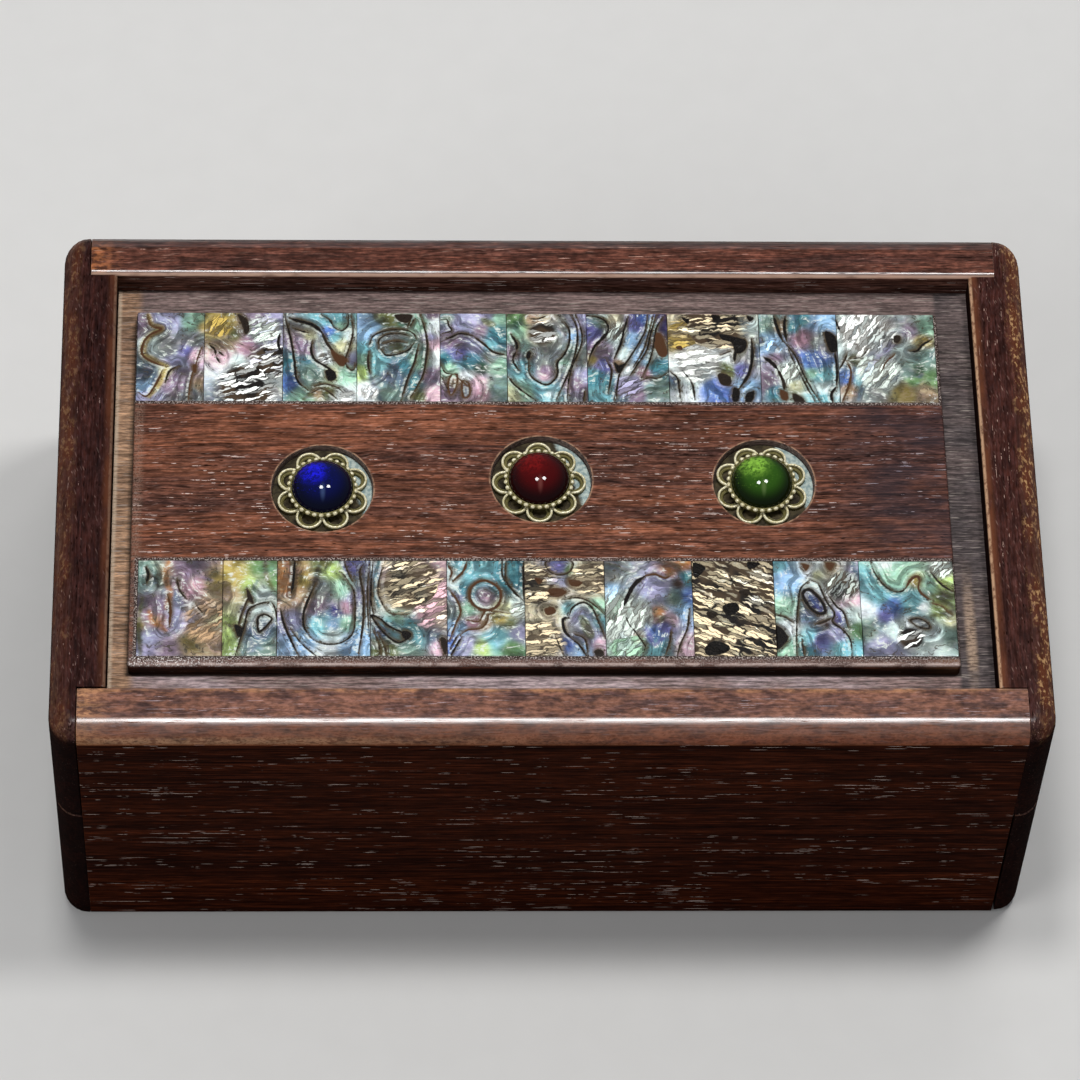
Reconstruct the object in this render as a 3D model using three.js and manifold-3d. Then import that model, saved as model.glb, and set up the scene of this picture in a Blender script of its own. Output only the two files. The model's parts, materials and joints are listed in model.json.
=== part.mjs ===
// A rosewood puzzle box with a sliding lid, two inlaid strips of abalone and three glass cabochons in brass
// flower settings. Millimetres: X along the box, Y to the back, Z up, origin under the middle of the base.

import * as THREE from "three";
import { mergeVertices } from "three/addons/utils/BufferGeometryUtils.js";
import Module from "manifold-3d";

const wasm = await Module();
wasm.setup();

// Outside of the box
const LENGTH = 165;
const WIDTH = 100;
const HEIGHT = 62; // up to the rim
const CORNER_RADIUS = 5; // upright corners, seen from above
const RIM_ROUNDING_IN = 3.5;
const RIM_ROUNDING_DOWN = 3.4;
const BASE_ROUNDING = 1.2;

// Walls
const BOARD = 9; // front and back boards
const END_BLOCK = 9.3; // end blocks at their thick middle
const END_LIP = 4.7; // the outer part of an end block, which covers the ends of the boards
const SPLIT = 35; // both ends are cut across at this height
const SLIDING_GAP = 0.3;
const BASE_THICKNESS = 5;
const TRAY_THICKNESS = 3;
const TRAY_TONGUE = 2; // how far the tray floor reaches into the boards
const FINGER_HOLE_RADIUS = 9;
const FINGER_HOLE_TO_END = 13.2; // from its middle to the right end block

// Lid
const FLANGE_BELOW_RIM = 5.2;
const FLANGE_THICKNESS = 4;
const GROOVE_DEPTH = 3; // grooves that the flange runs in
const GROOVE_CLEARANCE = 0.2;
const FIELD_BELOW_RIM = 2.3; // top of the raised field
const MARGIN = { left: 3.4, right: 5.8, front: 5.5, back: 6.3 }; // from the walls to the raised field
const TONGUE_THICKNESS = 1.6; // joins the lid panel to its end block
const TONGUE_LENGTH = 3;
const TONGUE_WIDTH = 70;

// Abalone: the widths of the tiles from left to right, and where each strip lies on the field
const TILE_THICKNESS = 0.9;
const TILE_JOINT = 0.1;
const BACK_STRIP = {
  name: "back",
  start: -69.7,
  front: 16.5,
  back: 34.7,
  widths: [11.5, 13.4, 12.6, 14.2, 11.4, 13.7, 13.9, 15.7, 13.4, 16.8],
};
const FRONT_STRIP = {
  name: "front",
  start: -68.5,
  front: -33.7,
  back: -15.2,
  widths: [14.1, 9.0, 15.4, 12.7, 12.9, 13.3, 14.6, 13.6, 14.3, 15.8],
};

// Jewels: the middle of each recess on the lid, how far off it the flower sits, and how far the flower is turned
const JEWELS = [
  { name: "blue", x: -38.0, y: -1.0, offset: [0, -0.1], turn: 22.5, glass: 0x1424a0 },
  { name: "red", x: -1.2, y: 0.9, offset: [-0.4, -0.3], turn: 0, glass: 0x6a0810 },
  { name: "green", x: 36.3, y: 0.3, offset: [-0.4, -0.3], turn: 22.5, glass: 0x3f6a10 },
];
const RECESS_RADIUS = 8.75;
const RECESS_DEPTH = 1.7;
const PEARL_RADIUS = 8.6;
const PEARL_THICKNESS = 0.4;
const PETALS = 8;
const PETAL_CIRCLE = 5.7; // radius of the circle through the middles of the petals
const PETAL_RADIUS = 2.25;
const PETAL_WIRE = 0.5;
const FLOWER_THICKNESS = 1.0;
const BEADS = 30;
const BEAD_CIRCLE = 5.1;
const BEAD_RADIUS = 0.56;
const BEZEL_INNER_RADIUS = 5.05;
const BEZEL_HEIGHT = 0.8;
const CABOCHON_RADIUS = 4.95;
const CABOCHON_EDGE = 0.6; // upright edge below the dome
const CABOCHON_HEIGHT = 3.8;

// Lock pins, which lie in blind bores in the boards and drop into holes in the edges of the lid
const PIN_X = 30;
const PIN_RADIUS = 1;
const PIN_LENGTH = 4.6;
const PIN_BORE_RADIUS = 1.25;
const PIN_BORE_DEPTH = 4.9;
const PIN_HOLE_DEPTH = 3;
const PIN_SETBACK = 0.2; // how far a withdrawn pin lies inside its bore

// Drawer behind the lower right end
const DRAWER_LIFT = 0.5; // its front stays clear of the table
const DRAWER_BOARD = 4;
const DRAWER_SIDE_GAP = 0.4;
const DRAWER_BELOW_SPLIT = 0.6; // top of the drawer's sides
const DRAWER_ABOVE_BASE = 0.4;
const DRAWER_FLOOR = 2.5;

// Places worked out from the sizes
const HALF_LENGTH = LENGTH / 2;
const HALF_WIDTH = WIDTH / 2;
const INNER_X = HALF_LENGTH - END_BLOCK;
const BOARD_END = HALF_LENGTH - END_LIP;
const INNER_Y = HALF_WIDTH - BOARD;
const FLANGE_TOP = HEIGHT - FLANGE_BELOW_RIM;
const FLANGE_BASE = FLANGE_TOP - FLANGE_THICKNESS;
const FIELD_TOP = HEIGHT - FIELD_BELOW_RIM;
const PIN_Z = (FLANGE_TOP + FLANGE_BASE) / 2;
const HALF_GAP = SLIDING_GAP / 2;
const GROOVE_HEIGHTS = [FLANGE_BASE - GROOVE_CLEARANCE, FLANGE_TOP + GROOVE_CLEARANCE];
const TRAY_HEIGHTS = [SPLIT + HALF_GAP, SPLIT + HALF_GAP + TRAY_THICKNESS];

const WOOD = { color: 0x4a241a, roughness: 0.55, metalness: 0 };
const INNER_WOOD = { color: 0x5c3a26, roughness: 0.8, metalness: 0 };
const ABALONE = { color: 0x9db8b0, roughness: 0.2, metalness: 0.1 };
const BRASS = { color: 0xa08c50, roughness: 0.35, metalness: 1 };
const STEEL = { color: 0x9a9a9a, roughness: 0.4, metalness: 1 };
const GLASS = { roughness: 0.05, metalness: 0 };

// A closed geometry as a solid that can be joined and cut
function solidOf(geometry) {
  geometry.deleteAttribute("normal");
  geometry.deleteAttribute("uv");
  const merged = mergeVertices(geometry, 1e-4);
  const mesh = new wasm.Mesh({
    numProp: 3,
    vertProperties: merged.getAttribute("position").array,
    triVerts: new Uint32Array(merged.index.array),
  });
  return new wasm.Manifold(mesh);
}

function geometryOf(solid) {
  const mesh = solid.getMesh();
  const geometry = new THREE.BufferGeometry();
  geometry.setAttribute("position", new THREE.BufferAttribute(mesh.vertProperties, 3));
  geometry.setIndex(new THREE.BufferAttribute(mesh.triVerts, 1));
  geometry.computeVertexNormals();
  return geometry;
}

function slab([x0, x1], [y0, y1], [z0, z1]) {
  const geometry = new THREE.BoxGeometry(x1 - x0, y1 - y0, z1 - z0);
  geometry.translate((x0 + x1) / 2, (y0 + y1) / 2, (z0 + z1) / 2);
  return solidOf(geometry);
}

function uprightCylinder(radius, x, y, [z0, z1], sides = 32) {
  const geometry = new THREE.CylinderGeometry(radius, radius, z1 - z0, sides);
  geometry.rotateX(Math.PI / 2);
  geometry.translate(x, y, (z0 + z1) / 2);
  return solidOf(geometry);
}

function levelCylinder(radius, x, [y0, y1], z, sides = 12) {
  const geometry = new THREE.CylinderGeometry(radius, radius, y1 - y0, sides);
  geometry.translate(x, (y0 + y1) / 2, z);
  return solidOf(geometry);
}

// Points round one level of the box: straight sides and four round corners, drawn in by inset
function levelOutline(inset, z) {
  const radius = CORNER_RADIUS - inset;
  const cornerSteps = 6;
  const points = [];
  for (let corner = 0; corner < 4; corner += 1) {
    const xSide = corner === 0 || corner === 3 ? 1 : -1;
    const ySide = corner < 2 ? 1 : -1;
    for (let step = 0; step <= cornerSteps; step += 1) {
      const angle = ((corner + step / cornerSteps) * Math.PI) / 2;
      const x = xSide * (HALF_LENGTH - CORNER_RADIUS) + radius * Math.cos(angle);
      const y = ySide * (HALF_WIDTH - CORNER_RADIUS) + radius * Math.sin(angle);
      points.push([x, y, z]);
    }
  }
  return points;
}

// The outside of the whole box, which rounds off every wall: a small rounding round the base, a larger one
// round the rim
function outsideOfBox() {
  const baseSteps = 3;
  const rimSteps = 6;
  const levels = [];
  for (let step = 0; step <= baseSteps; step += 1) {
    const angle = ((step / baseSteps) * Math.PI) / 2;
    levels.push(levelOutline(BASE_ROUNDING * (1 - Math.sin(angle)), BASE_ROUNDING * (1 - Math.cos(angle))));
  }
  for (let step = 0; step <= rimSteps; step += 1) {
    const angle = ((step / rimSteps) * Math.PI) / 2;
    const inset = RIM_ROUNDING_IN * (1 - Math.cos(angle));
    levels.push(levelOutline(inset, HEIGHT - RIM_ROUNDING_DOWN * (1 - Math.sin(angle))));
  }
  const count = levels[0].length;
  const positions = levels.flat(2);
  const top = levels.length * count;
  positions.push(0, 0, HEIGHT, 0, 0, 0);
  const faces = [];
  for (let i = 0; i < count; i += 1) {
    const next = (i + 1) % count;
    for (let level = 0; level < levels.length - 1; level += 1) {
      const low = level * count;
      const high = low + count;
      faces.push(low + i, low + next, high + next, low + i, high + next, high + i);
    }
    faces.push(top - count + i, top - count + next, top);
    faces.push(next, i, top + 1);
  }
  const geometry = new THREE.BufferGeometry();
  geometry.setAttribute("position", new THREE.Float32BufferAttribute(positions, 3));
  geometry.setIndex(faces);
  return solidOf(geometry);
}

const OUTSIDE = outsideOfBox();

// Groups of the pieces that stay together
const box = new THREE.Group();
const carcass = new THREE.Group();
const lid = new THREE.Group();
const drawer = new THREE.Group();
box.add(carcass, lid, drawer);

function addMesh(group, name, geometry, finish) {
  const mesh = new THREE.Mesh(geometry, new THREE.MeshStandardMaterial(finish));
  mesh.name = name;
  group.add(mesh);
  return mesh;
}

function addSolid(group, name, solid, finish) {
  return addMesh(group, name, geometryOf(solid), finish);
}

// Two distances from the middle, on one side of it, in rising order
function range(side, near, far) {
  return side > 0 ? [near, far] : [-far, -near];
}

// A long wall, with the lid's groove, the tray floor's groove and a blind bore for a lock pin
function longBoard(side) {
  const fullLength = [-BOARD_END, BOARD_END];
  const wall = slab(fullLength, range(side, INNER_Y, HALF_WIDTH), [0, HEIGHT]).intersect(OUTSIDE);
  const lidGroove = slab(fullLength, range(side, INNER_Y, INNER_Y + GROOVE_DEPTH), GROOVE_HEIGHTS);
  const trayGroove = slab(fullLength, range(side, INNER_Y, INNER_Y + TRAY_TONGUE), TRAY_HEIGHTS);
  const boreReach = range(side, INNER_Y, INNER_Y + GROOVE_DEPTH + PIN_BORE_DEPTH);
  const bore = levelCylinder(PIN_BORE_RADIUS, PIN_X, boreReach, PIN_Z);
  return wall.subtract(lidGroove).subtract(trayGroove).subtract(bore);
}

// A stretch of an end wall: a lip over the ends of the boards, and a thicker middle between them
function endBlock(side, heights, gap) {
  const middleReach = range(side, INNER_X + gap, HALF_LENGTH);
  const middle = slab(middleReach, [-INNER_Y + gap, INNER_Y - gap], heights);
  const lip = slab(range(side, BOARD_END + gap, HALF_LENGTH), [-HALF_WIDTH, HALF_WIDTH], heights);
  return middle.add(lip).intersect(OUTSIDE);
}

function addCarcass() {
  addSolid(carcass, "front_board", longBoard(-1), WOOD);
  addSolid(carcass, "back_board", longBoard(1), WOOD);
  addSolid(carcass, "left_end_lower", endBlock(-1, [0, SPLIT - HALF_GAP], 0), WOOD);
  const lidGroove = slab([INNER_X, INNER_X + GROOVE_DEPTH], [-INNER_Y, INNER_Y], GROOVE_HEIGHTS);
  const rightEnd = endBlock(1, [SPLIT + HALF_GAP, HEIGHT], 0).subtract(lidGroove);
  addSolid(carcass, "right_end_upper", rightEnd, WOOD);
  const base = slab([-INNER_X, INNER_X - SLIDING_GAP], [-INNER_Y, INNER_Y], [0, BASE_THICKNESS]);
  addSolid(carcass, "bottom_board", base, INNER_WOOD);
  const reach = INNER_Y + TRAY_TONGUE;
  const floor = slab([-INNER_X + SLIDING_GAP, INNER_X], [-reach, reach], TRAY_HEIGHTS);
  const fingerHole = uprightCylinder(FINGER_HOLE_RADIUS, INNER_X - FINGER_HOLE_TO_END, 0, TRAY_HEIGHTS);
  addSolid(carcass, "tray_floor", floor.subtract(fingerHole), INNER_WOOD);
}

// The lid: a flange that runs in the grooves, and a raised field with pockets for the tiles and jewels
function lidPanel() {
  const flangeReach = INNER_Y + GROOVE_DEPTH - GROOVE_CLEARANCE;
  const flangeEnd = INNER_X + GROOVE_DEPTH - GROOVE_CLEARANCE;
  const flange = slab([-INNER_X, flangeEnd], [-flangeReach, flangeReach], [FLANGE_BASE, FLANGE_TOP]);
  const field = slab(
    [-INNER_X + MARGIN.left, INNER_X - MARGIN.right],
    [-INNER_Y + MARGIN.front, INNER_Y - MARGIN.back],
    [FLANGE_BASE, FIELD_TOP],
  );
  let panel = flange.add(field).add(lidTongue());
  for (const strip of [BACK_STRIP, FRONT_STRIP]) {
    const end = strip.start + strip.widths.reduce((sum, width) => sum + width, 0);
    const pocket = slab([strip.start, end], [strip.front, strip.back], [FIELD_TOP - TILE_THICKNESS, HEIGHT]);
    panel = panel.subtract(pocket);
  }
  for (const jewel of JEWELS) {
    const heights = [FIELD_TOP - RECESS_DEPTH, HEIGHT];
    panel = panel.subtract(uprightCylinder(RECESS_RADIUS, jewel.x, jewel.y, heights, 40));
  }
  for (const side of [-1, 1]) {
    const holeReach = range(side, flangeReach - PIN_HOLE_DEPTH, flangeReach);
    panel = panel.subtract(levelCylinder(PIN_BORE_RADIUS, PIN_X, holeReach, PIN_Z));
  }
  return panel;
}

function lidTongue() {
  return slab(
    [-INNER_X - TONGUE_LENGTH, -INNER_X],
    [-TONGUE_WIDTH / 2, TONGUE_WIDTH / 2],
    [PIN_Z - TONGUE_THICKNESS / 2, PIN_Z + TONGUE_THICKNESS / 2],
  );
}

// The upper left end, glued to the lid. Its middle meets the panel, so only its sides and lip are set back.
function lidEndBlock() {
  const heights = [SPLIT + HALF_GAP, HEIGHT];
  const block = endBlock(-1, heights, SLIDING_GAP);
  const facing = slab([-BOARD_END, -INNER_X], [-INNER_Y + SLIDING_GAP, INNER_Y - SLIDING_GAP], heights);
  return block.add(facing).subtract(lidTongue());
}

function addTiles(strip) {
  const depth = strip.back - strip.front - TILE_JOINT;
  const middleY = (strip.front + strip.back) / 2;
  let x = strip.start;
  strip.widths.forEach((width, index) => {
    const tile = new THREE.BoxGeometry(width - TILE_JOINT, depth, TILE_THICKNESS);
    const mesh = addMesh(lid, `${strip.name}_tile_${index + 1}`, tile, ABALONE);
    mesh.position.set(x + width / 2, middleY, FIELD_TOP - TILE_THICKNESS / 2);
    x += width;
  });
}

// Points round a circle, anticlockwise
function circlePoints(radius, count, x = 0, y = 0) {
  return Array.from({ length: count }, (_, index) => {
    const angle = (index / count) * 2 * Math.PI;
    return new THREE.Vector2(x + radius * Math.cos(angle), y + radius * Math.sin(angle));
  });
}

// The outline of a ring of touching lobes: each arc runs between the points where it meets its neighbours
function lobedOutline(lobes, circle, radius, steps) {
  const meeting = Math.acos((circle * Math.sin(Math.PI / lobes)) / radius);
  const halfArc = Math.PI / 2 + Math.PI / lobes - meeting;
  const points = [];
  for (let lobe = 0; lobe < lobes; lobe += 1) {
    const middle = (lobe / lobes) * 2 * Math.PI;
    for (let step = 0; step < steps; step += 1) {
      const angle = middle + halfArc * ((2 * step) / steps - 1);
      const x = circle * Math.cos(middle) + radius * Math.cos(angle);
      const y = circle * Math.sin(middle) + radius * Math.sin(angle);
      points.push(new THREE.Vector2(x, y));
    }
  }
  return points;
}

// A flat brass flower with eight open petals
function flowerGeometry() {
  const shape = new THREE.Shape(lobedOutline(PETALS, PETAL_CIRCLE, PETAL_RADIUS, 8));
  for (let petal = 0; petal < PETALS; petal += 1) {
    const angle = (petal / PETALS) * 2 * Math.PI;
    const x = PETAL_CIRCLE * Math.cos(angle);
    const y = PETAL_CIRCLE * Math.sin(angle);
    shape.holes.push(new THREE.Path(circlePoints(PETAL_RADIUS - PETAL_WIRE, 10, x, y)));
  }
  return new THREE.ExtrudeGeometry(shape, { depth: FLOWER_THICKNESS, bevelEnabled: false });
}

// A ring with a beaded rim that holds the glass
function bezelGeometry() {
  const shape = new THREE.Shape(lobedOutline(BEADS, BEAD_CIRCLE, BEAD_RADIUS, 3));
  shape.holes.push(new THREE.Path(circlePoints(BEZEL_INNER_RADIUS, 36)));
  return new THREE.ExtrudeGeometry(shape, { depth: BEZEL_HEIGHT, bevelEnabled: false });
}

// A round stone with a flat back, a short upright edge and a low dome
function cabochonGeometry() {
  const domeSteps = 7;
  const profile = [new THREE.Vector2(0, 0), new THREE.Vector2(CABOCHON_RADIUS, 0)];
  for (let step = 0; step <= domeSteps; step += 1) {
    const angle = ((step / domeSteps) * Math.PI) / 2;
    const radius = step === domeSteps ? 0 : CABOCHON_RADIUS * Math.cos(angle);
    const height = CABOCHON_EDGE + (CABOCHON_HEIGHT - CABOCHON_EDGE) * Math.sin(angle);
    profile.push(new THREE.Vector2(radius, height));
  }
  const geometry = new THREE.LatheGeometry(profile, 28);
  geometry.rotateX(Math.PI / 2);
  return geometry;
}

// One jewel, built up from the floor of its recess: a disc that fills it, and a setting a little off its middle
function addJewel({ name, x, y, offset, turn, glass }) {
  const recessFloor = FIELD_TOP - RECESS_DEPTH;
  const disc = new THREE.CylinderGeometry(PEARL_RADIUS, PEARL_RADIUS, PEARL_THICKNESS, 40);
  disc.rotateX(Math.PI / 2);
  addMesh(lid, `${name}_pearl_disc`, disc, ABALONE).position.set(x, y, recessFloor + PEARL_THICKNESS / 2);
  const setting = new THREE.Group();
  setting.position.set(x + offset[0], y + offset[1], recessFloor + PEARL_THICKNESS);
  setting.rotation.z = THREE.MathUtils.degToRad(turn);
  lid.add(setting);
  addMesh(setting, `${name}_flower_setting`, flowerGeometry(), BRASS);
  addMesh(setting, `${name}_bead_bezel`, bezelGeometry(), BRASS).position.z = FLOWER_THICKNESS;
  const stone = addMesh(setting, `${name}_cabochon`, cabochonGeometry(), { ...GLASS, color: glass });
  stone.position.z = FLOWER_THICKNESS;
}

function addLid() {
  addSolid(lid, "lid_panel", lidPanel(), WOOD);
  addSolid(lid, "lid_end_block", lidEndBlock(), WOOD);
  addTiles(BACK_STRIP);
  addTiles(FRONT_STRIP);
  JEWELS.forEach(addJewel);
}

// A drawer without a handle. Its front is the lower right end of the box.
function addDrawer() {
  const top = SPLIT - DRAWER_BELOW_SPLIT;
  const low = BASE_THICKNESS + DRAWER_ABOVE_BASE;
  const outerY = INNER_Y - DRAWER_SIDE_GAP;
  const innerY = outerY - DRAWER_BOARD;
  const frontX = INNER_X + SLIDING_GAP;
  const endX = -INNER_X + SLIDING_GAP;
  const front = endBlock(1, [DRAWER_LIFT, SPLIT - HALF_GAP], SLIDING_GAP);
  addSolid(drawer, "drawer_front", front, WOOD);
  for (const [name, side] of [["drawer_front_side", -1], ["drawer_back_side", 1]]) {
    addSolid(drawer, name, slab([endX, frontX], range(side, innerY, outerY), [low, top]), INNER_WOOD);
  }
  const end = slab([endX, endX + DRAWER_BOARD], [-innerY, innerY], [low, top]);
  addSolid(drawer, "drawer_end", end, INNER_WOOD);
  const floor = slab([endX + DRAWER_BOARD, frontX], [-innerY, innerY], [low, low + DRAWER_FLOOR]);
  addSolid(drawer, "drawer_floor", floor, INNER_WOOD);
}

// Two loose pins, drawn withdrawn into the boards: the lid is free to slide
function addLockPins() {
  for (const [name, side] of [["front_lock_pin", -1], ["back_lock_pin", 1]]) {
    const pin = new THREE.CylinderGeometry(PIN_RADIUS, PIN_RADIUS, PIN_LENGTH, 12);
    const y = side * (INNER_Y + GROOVE_DEPTH + PIN_SETBACK + PIN_LENGTH / 2);
    addMesh(box, name, pin, STEEL).position.set(PIN_X, y, PIN_Z);
  }
}

addCarcass();
addLid();
addDrawer();
addLockPins();

export default box;
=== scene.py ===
# %% [markdown]
# # A rosewood puzzle box, inlaid with abalone and set with three glass stones
#
# The box is a small bench-made piece: two long walls, two end walls that are cut across at half height,
# a sliding lid with a raised field, and a drawer behind one end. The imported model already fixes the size
# and the place of every piece, so this lesson only makes what the eye sees: worn edges, open-grained wood,
# shell, stamped brass and glass. Lengths are metres, so a value in millimetres is written as `9 * MM`.

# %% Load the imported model
import json
import math

import bmesh
import bpy
import numpy as np
from mathutils import Matrix, Vector


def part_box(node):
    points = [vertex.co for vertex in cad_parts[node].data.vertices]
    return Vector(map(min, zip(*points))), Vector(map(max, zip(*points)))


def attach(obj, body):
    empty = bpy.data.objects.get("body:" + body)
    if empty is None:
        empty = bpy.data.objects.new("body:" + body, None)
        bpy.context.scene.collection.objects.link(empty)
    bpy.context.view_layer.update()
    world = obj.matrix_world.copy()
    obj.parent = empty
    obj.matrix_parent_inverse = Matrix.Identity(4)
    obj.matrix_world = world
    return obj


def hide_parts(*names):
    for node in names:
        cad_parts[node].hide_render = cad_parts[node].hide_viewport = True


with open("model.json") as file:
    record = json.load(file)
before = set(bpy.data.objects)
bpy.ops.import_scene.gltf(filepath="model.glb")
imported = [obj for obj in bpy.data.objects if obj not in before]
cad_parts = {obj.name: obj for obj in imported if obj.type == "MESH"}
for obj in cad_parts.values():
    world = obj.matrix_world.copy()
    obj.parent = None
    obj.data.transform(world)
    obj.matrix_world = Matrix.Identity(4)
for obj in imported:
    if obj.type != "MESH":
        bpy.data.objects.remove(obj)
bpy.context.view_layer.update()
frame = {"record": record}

MM = 0.001

# %% [markdown]
# ## The camera
#
# A photographer stood close to the front of the box and looked steeply down at it with a long lens. The
# camera could be placed by eye, but four corners of a box of known size fix it better: the place, the
# three angles and the focal length below put the model's corners on the corners seen in the picture.

# %% Camera
CAMERA_LENS = 170.95
CAMERA_PLACE = Vector((-34.53, -464.18, 785.47)) * MM
CAMERA_YAW = math.radians(4.15)
CAMERA_PITCH = math.radians(57.96)
CAMERA_ROLL = math.radians(3.60)

camera_data = bpy.data.cameras.new("camera")
camera_data.sensor_width = 36
camera_data.sensor_fit = "HORIZONTAL"
camera_data.lens = CAMERA_LENS
camera = bpy.data.objects.new("camera", camera_data)
turn = (Matrix.Rotation(-CAMERA_YAW, 4, "Z")
        @ Matrix.Rotation(math.pi / 2 - CAMERA_PITCH, 4, "X")
        @ Matrix.Rotation(CAMERA_ROLL, 4, "Z"))
camera.matrix_world = Matrix.Translation(CAMERA_PLACE) @ turn
bpy.context.scene.collection.objects.link(camera)
bpy.context.scene.camera = camera
bpy.context.scene.view_settings.view_transform = "Standard"
print("camera", round(CAMERA_PLACE.length, 3), "m from the box")

# %% [markdown]
# ## The light
#
# Dark polished wood shows its shape by what it mirrors. In the picture each stone carries two bright dots
# near its middle and the front edge one thin line at its very top, so the light came from two lamps high
# over the box. Two small soft lamps overhead do the same, and large weak ones from the left and the
# back lift the sides. Harder lamps would burn out the shell.

# %% Lamps and world
def area_lamp(name, place, aim, size, watts):
    """A round soft lamp at a place, turned so that it shines at aim."""
    data = bpy.data.lights.new(name, "AREA")
    data.shape = "DISK"
    data.size = size
    data.energy = watts
    lamp = bpy.data.objects.new(name, data)
    lamp.location = place
    lamp.rotation_euler = (Vector(aim) - Vector(place)).to_track_quat("-Z", "Y").to_euler()
    bpy.context.scene.collection.objects.link(lamp)
    return lamp


MIDDLE = (0, 0, 0.03)
area_lamp("left_key_lamp", (-0.09, 0.10, 1.1), MIDDLE, 0.165, 3.6)
area_lamp("right_key_lamp", (0.24, 0.16, 1.1), MIDDLE, 0.165, 3.6)
for name, place, watts in (("fill_lamp", (-0.9, -0.5, 0.6), 4.5), ("back_lamp", (0.35, 1.1, 0.5), 3.5)):
    soft = area_lamp(name, place, MIDDLE, 0.7, watts)
    soft.visible_glossy = False

world = bpy.data.worlds.new("studio")
world.use_nodes = True
bpy.context.scene.world = world
sky = world.node_tree.nodes["Background"]
sky.inputs["Color"].default_value = (0.9, 0.93, 1.0, 1)
sky.inputs["Strength"].default_value = 0.22

# %% [markdown]
# ## Node trees from short descriptions
#
# Every finish below is a network of shader nodes. Clicking them together one by one is fine for a single
# material, but wood, shell and brass share their parts, so a few helpers that add a node, set its values
# and link it keep each recipe short enough to read.

# %% Node helpers
def feed(node, inputs):
    """Gives a node its inputs, by name or number: an output socket is linked, a plain value is written,
    and a colour gets its alpha of 1."""
    for name, value in inputs.items():
        socket = node.inputs[name]
        if isinstance(value, bpy.types.NodeSocket):
            socket.id_data.links.new(value, socket)
        else:
            socket.default_value = (*value, 1) if socket.type == "RGBA" else value
    return node


def add_node(tree, kind, inputs=None, **settings):
    """A shader node with its settings and its inputs."""
    node = tree.nodes.new("ShaderNode" + kind)
    for name, value in settings.items():
        setattr(node, name, value)
    return feed(node, inputs or {})


def tree_of(*values):
    """The node tree of the first output socket among some values."""
    return next(value.id_data for value in values if isinstance(value, bpy.types.NodeSocket))


def sums(operation, *values, clamp=False):
    """One step of arithmetic on numbers."""
    inputs = dict(enumerate(values))
    return add_node(tree_of(*values), "Math", inputs, operation=operation, use_clamp=clamp).outputs[0]


def chain(operation):
    """A function that carries one kind of step through all the values it is given."""
    def worked_out(*values, clamp=False):
        total = values[0]
        for value in values[1:]:
            total = sums(operation, total, value, clamp=clamp)
        return total
    return worked_out


plus, minus, times, largest = (chain(step) for step in ("ADD", "SUBTRACT", "MULTIPLY", "MAXIMUM"))


def vectors(operation, *values):
    """One step of arithmetic on points. A length, a distance or a dot product gives a number."""
    node = add_node(tree_of(*values), "VectorMath", dict(enumerate(values)), operation=operation)
    return node.outputs["Value" if operation in ("LENGTH", "DISTANCE", "DOT_PRODUCT") else "Vector"]


def point_of(*values):
    return add_node(tree_of(*values), "CombineXYZ", dict(enumerate(values))).outputs[0]


def stretch(vector, scale):
    """A point with each coordinate multiplied: small numbers draw a pattern out along that axis."""
    return vectors("MULTIPLY", vector, scale)


def noise(vector, scale=1.0, detail=3.0, roughness=0.5, distortion=0.0, output="Fac"):
    """Soft random values between 0 and 1 over the points of a vector. The scale may be three numbers."""
    if isinstance(scale, tuple):
        vector, scale = stretch(vector, scale), 1.0
    inputs = {"Vector": vector, "Scale": scale, "Detail": detail, "Roughness": roughness,
              "Distortion": distortion}
    return add_node(tree_of(vector), "TexNoise", inputs).outputs[output]


def ramp(value, low, high, to_low=0.0, to_high=1.0):
    """A value from low to high becomes to_low to to_high, with soft ends."""
    inputs = {"Value": value, "From Min": low, "From Max": high, "To Min": to_low, "To Max": to_high}
    return add_node(tree_of(value), "MapRange", inputs, interpolation_type="SMOOTHSTEP").outputs["Result"]


def blend(factor, first, second, mode="MIX"):
    """Two colours mixed by a factor."""
    node = add_node(tree_of(factor, first, second), "Mix", data_type="RGBA", blend_type=mode,
                    clamp_factor=True)
    return feed(node, {0: factor, 6: first, 7: second}).outputs[2]


def grey(value):
    """One number as a grey colour, to brighten or darken another colour with."""
    return add_node(tree_of(value), "CombineColor", {0: value, 1: value, 2: value}).outputs[0]


def near(value, target, width):
    """1 where a value is at the target, down to 0 at the given distance from it."""
    return ramp(sums("ABSOLUTE", minus(value, target)), 0.2 * width, width, 1, 0)


def object_place(tree, turn_z=0.0, offset=(0, 0, 0)):
    """The object's own coordinates in millimetres, turned about Z and shifted to another part of a pattern."""
    place = add_node(tree, "TexCoord").outputs["Object"]
    inputs = {"Vector": place, "Scale": (1 / MM, 1 / MM, 1 / MM), "Rotation": (0, 0, turn_z),
              "Location": offset}
    return add_node(tree, "Mapping", inputs).outputs["Vector"]


def split(vector):
    """A point's three coordinates as numbers."""
    return list(add_node(tree_of(vector), "SeparateXYZ", {0: vector}).outputs)


def scattered(vector, feature="F1"):
    """The outputs of a pattern of random cells round scattered points."""
    return add_node(tree_of(vector), "TexVoronoi", {"Vector": vector, "Scale": 1.0}, feature=feature).outputs


def dice(shade):
    """Three random numbers from a cell's random colour."""
    return list(add_node(tree_of(shade), "SeparateColor", {0: shade}).outputs)


def attribute(tree, name, output="Fac"):
    return add_node(tree, "Attribute", attribute_name=name).outputs[output]


def bump(shader, height, distance, strength=1.0):
    """Feeds a height to the shader's normal, as relief of the given depth in metres."""
    inputs = {"Height": height, "Distance": distance, "Strength": strength}
    feed(shader, {"Normal": add_node(shader.id_data, "Bump", inputs).outputs["Normal"]})


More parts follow.
